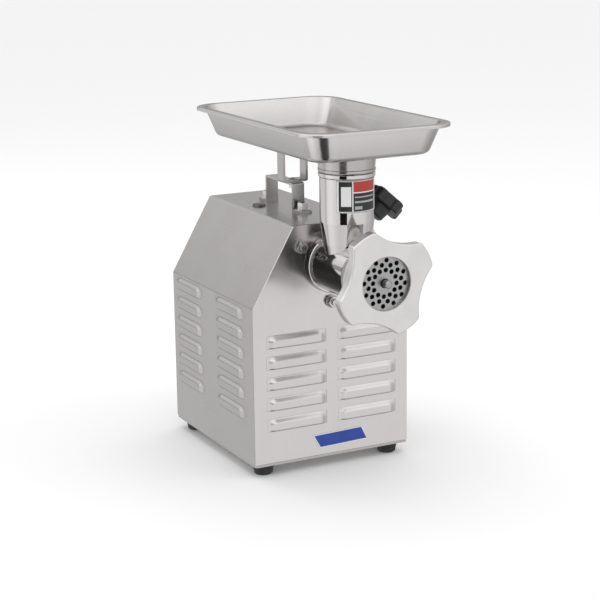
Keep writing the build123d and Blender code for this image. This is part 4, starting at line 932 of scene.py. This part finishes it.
class GRINDER_OT_prints(bpy.types.Operator):
    """Print the plain label of the throat and the blank name plate"""
    bl_idname = "grinder.prints"
    bl_label = "Label and name plate"

    def execute(self, context):
        self.label()
        self.badge()
        return {"FINISHED"}

    def label(self):
        """A sticker with a plain pale block on a dark field, and a red band over plain bars."""
        low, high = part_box("throat_label")
        radius = (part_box("tray_spigot")[1].x - LABEL_STEP) + LABEL_FILM
        centre, height = low.y + radius, high.z - low.z

        def ink(angle, rise):
            found, share = 0, (rise - low.z) / height
            for name, start, end, foot, top in LABEL_FIELDS:
                if start < angle < end and foot < share < top:
                    found = LABEL_INKS.index(name)
            return found

        def place(angle, rise):
            turn = math.radians(angle)
            return (radius * math.sin(turn), centre - radius * math.cos(turn), rise)

        marks = sorted({-LABEL_EDGE, LABEL_EDGE, *(mark for field in LABEL_FIELDS for mark in field[1:3])})
        shares = sorted({0.0, 1.0, *(share for field in LABEL_FIELDS for share in field[3:])})
        up = [low.z + height * share for share in shares]
        film = printed_cells("throat_sticker", spaced(marks, FILM_STEP), up, ink, place,
                             [FINISH[name] for name in LABEL_INKS])
        thicken(film, 0.0002)
        settle(film, "head", "label_film", "throat_label")

    def badge(self):
        """A slanted blue plate with a pale border."""
        low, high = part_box("badge_plate")
        outer = [(low.x + BADGE_LEAN + BADGE_TRIM, low.z), (high.x, low.z + BADGE_RISE),
                 (high.x - BADGE_LEAN, high.z), (low.x, high.z - BADGE_RISE)]
        work = bmesh.new()
        back = [work.verts.new((x, high.y, z)) for x, z in outer]
        front = [work.verts.new((x, low.y, z)) for x, z in outer]
        face = work.faces.new(front)
        for i in range(4):
            work.faces.new((back[i - 1], back[i], front[i], front[i - 1]))
        work.faces.new(back[::-1])
        bmesh.ops.recalc_face_normals(work, faces=work.faces[:])
        bmesh.ops.inset_region(work, faces=[face], thickness=BADGE_BORDER, use_even_offset=True)
        bmesh.ops.inset_region(work, faces=[face], thickness=BADGE_STEP, depth=BADGE_DEPTH)
        face.material_index = 1
        piece = from_bmesh("blank_badge", work, [FINISH["ink_white"], FINISH["badge_blue"]])
        settle(piece, "root", "badge_blue", "badge_plate")


# ---- Studio -----------------------------------------------------------------------------------
def backdrop_card(name, corners, value):
    """A flat matt card or floor of the studio, from its four corners and its grey."""
    paint = bpy.data.materials.new(name + "_paint")
    paint.use_nodes = True
    shader = paint.node_tree.nodes["Principled BSDF"]
    shader.inputs["Base Color"].default_value = (value, value, value, 1.0)
    shader.inputs["Roughness"].default_value = 0.9
    shader.inputs["Specular IOR Level"].default_value = 0.1
    mesh = bpy.data.meshes.new(name)
    mesh.from_pydata(corners, [], [tuple(range(len(corners)))])
    mesh.materials.append(paint)
    card = show(name, mesh)
    return card


def area_light(name, place, target, side, power):
    """A square soft box aimed at a point, which no metal mirrors."""
    data = bpy.data.lights.new(name, "AREA")
    data.shape = "RECTANGLE"
    data.size = data.size_y = side
    data.energy = power
    light = bpy.data.objects.new(name, data)
    bpy.context.scene.collection.objects.link(light)
    light.location = place
    light.visible_glossy = False
    light.rotation_euler = (Vector(target) - Vector(place)).to_track_quat("-Z", "Y").to_euler()
    return light


def profile(tree, value, stops):
    """A smooth curve through (value, result) stops, with results up to 2."""
    low, high = stops[0][0], stops[-1][0]
    band = put(tree, "ShaderNodeValToRGB", None, {"Fac": ramp(tree, value, low, high, 0.0, 1.0)})
    band.color_ramp.interpolation = "EASE"
    marks = band.color_ramp.elements
    for at, _ in stops[1:-1]:
        marks.new((at - low) / (high - low))
    for mark, (_, result) in zip(marks, stops):
        mark.color = (result / 2, result / 2, result / 2, 1.0)
    return times(tree, band.outputs["Color"], 2.0)


def between(tree, value, low, full_low, full_high, high):
    """A soft window: 1 between two values and 0 well outside them."""
    return times(tree, ramp(tree, value, low, full_low, 0.0, 1.0, "SMOOTHSTEP"),
                 ramp(tree, value, full_high, high, 1.0, 0.0, "SMOOTHSTEP"))


# Brightness that metal mirrors round the grinder, by the angle from -Y towards +X, and by the angle
# above the horizon, both in degrees.
AROUND = (
    (-180.0, 0.60), (-170.0, 0.76), (-158.0, 0.89), (-138.0, 0.90), (-128.0, 0.72), (-116.0, 1.15),
    (-96.0, 1.20), (-84.0, 1.08), (-64.0, 0.96), (-20.0, 1.05), (40.0, 1.0), (75.0, 0.74),
    (110.0, 0.54), (150.0, 0.68), (172.0, 0.66), (180.0, 0.60))
UPWARD = (
    (-90.0, 0.45), (-72.0, 0.55), (-56.0, 0.92), (-46.0, 1.10), (-30.0, 0.88), (-14.0, 1.0),
    (6.0, 1.0), (16.0, 1.10), (26.0, 1.32), (50.0, 1.35), (90.0, 1.4))
FLAG_DEPTH, STRIP_DEPTH = -0.97, -0.55   # what the dark flags and the strip behind take away
SECOND_BOUNCE = 2.5                      # ray depth past which metal mirrors other metal


def studio_air(scene):
    """An even white world, with soft bands that only the metal mirrors."""
    world = bpy.data.worlds.new("studio_air")
    scene.world = world
    world.use_nodes = True
    tree = world.node_tree
    sky = tree.nodes["Background"]
    apart = split_xyz(tree, put(tree, "ShaderNodeTexCoord").outputs["Generated"])
    turn = maths(tree, "DEGREES", maths(tree, "ARCTAN2", apart["X"], times(tree, apart["Y"], -1.0)))
    rise = maths(tree, "DEGREES", maths(tree, "ARCSINE", apart["Z"]))
    paths = put(tree, "ShaderNodeLightPath").outputs
    second = maths(tree, "GREATER_THAN", paths["Ray Depth"], SECOND_BOUNCE)
    floor_flag = times(tree, between(tree, turn, -61.0, -53.0, -9.0, -4.0),
                       between(tree, rise, -80.0, -70.0, -49.0, -46.0))
    side_flag = times(tree, between(tree, turn, -44.0, -36.0, 0.0, 10.0),
                      between(tree, rise, -42.0, -30.0, 32.0, 46.0))
    flags = maths(tree, "MAXIMUM", floor_flag, times(tree, side_flag, second))
    behind = maths(tree, "GREATER_THAN", maths(tree, "ABSOLUTE", turn), 118.0)
    strip = times(tree, between(tree, rise, 0.0, 3.0, 9.0, 12.0), behind)
    upward = times(tree, profile(tree, rise, UPWARD), maths(tree, "MULTIPLY_ADD", strip, STRIP_DEPTH, 1.0))
    mirrored = times(tree, times(tree, profile(tree, turn, AROUND), upward),
                     maths(tree, "MULTIPLY_ADD", flags, FLAG_DEPTH, 1.0))
    seen = mix(tree, paths["Is Camera Ray"], 0.95, 1.0)
    link_all(tree, sky, {"Strength": mix(tree, paths["Is Glossy Ray"], seen, mirrored)})
    sky.inputs["Color"].default_value = (1.0, 1.0, 1.0, 1.0)


THROAT_BEHIND_LABEL = 0.0322   # from the front of the label to the throat's axis
FLOOR_REACH = 12.0
AIM = (0.0, 0.0, 0.2)
# Name, place, side and power of each soft box.
LIGHTS = (
    ("key_box", (1.5, -1.5, 2.0), 1.2, 9.0),
    ("top_box", (0.0, 0.3, 2.4), 1.4, 7.0),
    ("rear_box", (-0.9, 2.0, 1.4), 1.0, 4.0),
)


class GRINDER_OT_studio(bpy.types.Operator):
    """Build the pale floor, the soft lights and the camera"""
    bl_idname = "grinder.studio"
    bl_label = "Studio"

    def execute(self, context):
        floor = [(x * FLOOR_REACH, y * FLOOR_REACH, 0) for x, y in ((-1, -1), (1, -1), (1, 1), (-1, 1))]
        backdrop_card("studio_floor", floor, 0.95).visible_glossy = False
        card = self.black_card(turn=-42.5, distance=0.60, width=0.31, low=0.14, high=0.36)
        card.visible_camera = card.visible_diffuse = card.visible_shadow = False
        studio_air(context.scene)
        for name, place, side, power in LIGHTS:
            area_light(name, place, AIM, side, power)
        self.camera(context.scene, context.scene.grinder_camera)
        return {"FINISHED"}

    def black_card(self, turn, distance, width, low, high):
        """A black card that stands off the throat, for the dark stripe in it."""
        turn = math.radians(turn)
        throat = Vector((0.0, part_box("throat_label")[0].y + THROAT_BEHIND_LABEL, 0.0))
        across = Vector((math.cos(turn), math.sin(turn), 0)) * (width / 2)
        middle = throat + Vector((math.sin(turn), -math.cos(turn), 0)) * distance
        corners = [middle + side * across + Vector((0, 0, z))
                   for side, z in ((-1, low), (1, low), (1, high), (-1, high))]
        return backdrop_card("black_card", corners, 0.01)

    def camera(self, scene, view):
        """The camera, aimed from its settings."""
        data = bpy.data.cameras.new("camera")
        data.lens = view.lens
        data.sensor_width = 36.0
        data.clip_start, data.clip_end = 0.05, 60.0
        camera = bpy.data.objects.new("camera", data)
        scene.collection.objects.link(camera)
        flat = math.cos(view.elevation)
        back = Vector((math.sin(view.azimuth) * flat, -math.cos(view.azimuth) * flat,
                       math.sin(view.elevation)))
        place = Vector(view.target) + back * view.distance
        turn = (-back).to_track_quat("-Z", "Y").to_matrix() @ Matrix.Rotation(view.roll, 3, "Z")
        camera.matrix_world = Matrix.Translation(place) @ turn.to_4x4()
        scene.camera = camera
        scene.view_settings.view_transform = "Standard"


class GRINDER_PT_panel(bpy.types.Panel):
    """Lists the settings and the steps that build the grinder"""
    bl_idname = "GRINDER_PT_panel"
    bl_label = "Meat grinder"
    bl_space_type = "VIEW_3D"
    bl_region_type = "UI"
    bl_category = "Grinder"

    def draw(self, context):
        for step in STEPS:
            self.layout.operator(step.bl_idname)
        for name, kind in SETTINGS.items():
            box = self.layout.box()
            box.label(text=kind.__doc__)
            held = getattr(context.scene, name)
            for field in kind.__annotations__:
                box.prop(held, field)


SETTINGS = {
    "grinder_camera": GrinderCamera,
    "grinder_sheet": GrinderSheet,
    "grinder_louvres": GrinderLouvres,
}
STEPS = (
    GRINDER_OT_finishes,
    GRINDER_OT_housing,
    GRINDER_OT_louvres,
    GRINDER_OT_plate,
    GRINDER_OT_fasteners,
    GRINDER_OT_prints,
    GRINDER_OT_studio,
)


def register():
    for kind in (*SETTINGS.values(), *STEPS, GRINDER_PT_panel):
        bpy.utils.register_class(kind)
    for name, kind in SETTINGS.items():
        setattr(bpy.types.Scene, name, PointerProperty(type=kind))


def unregister():
    for name in SETTINGS:
        delattr(bpy.types.Scene, name)
    for kind in reversed((*SETTINGS.values(), *STEPS, GRINDER_PT_panel)):
        bpy.utils.unregister_class(kind)


def main():
    """Register the add-on and run every step in order."""
    register()
    for step in STEPS:
        area, name = step.bl_idname.split(".")
        getattr(getattr(bpy.ops, area), name)()


if __name__ == "__main__":
    main()
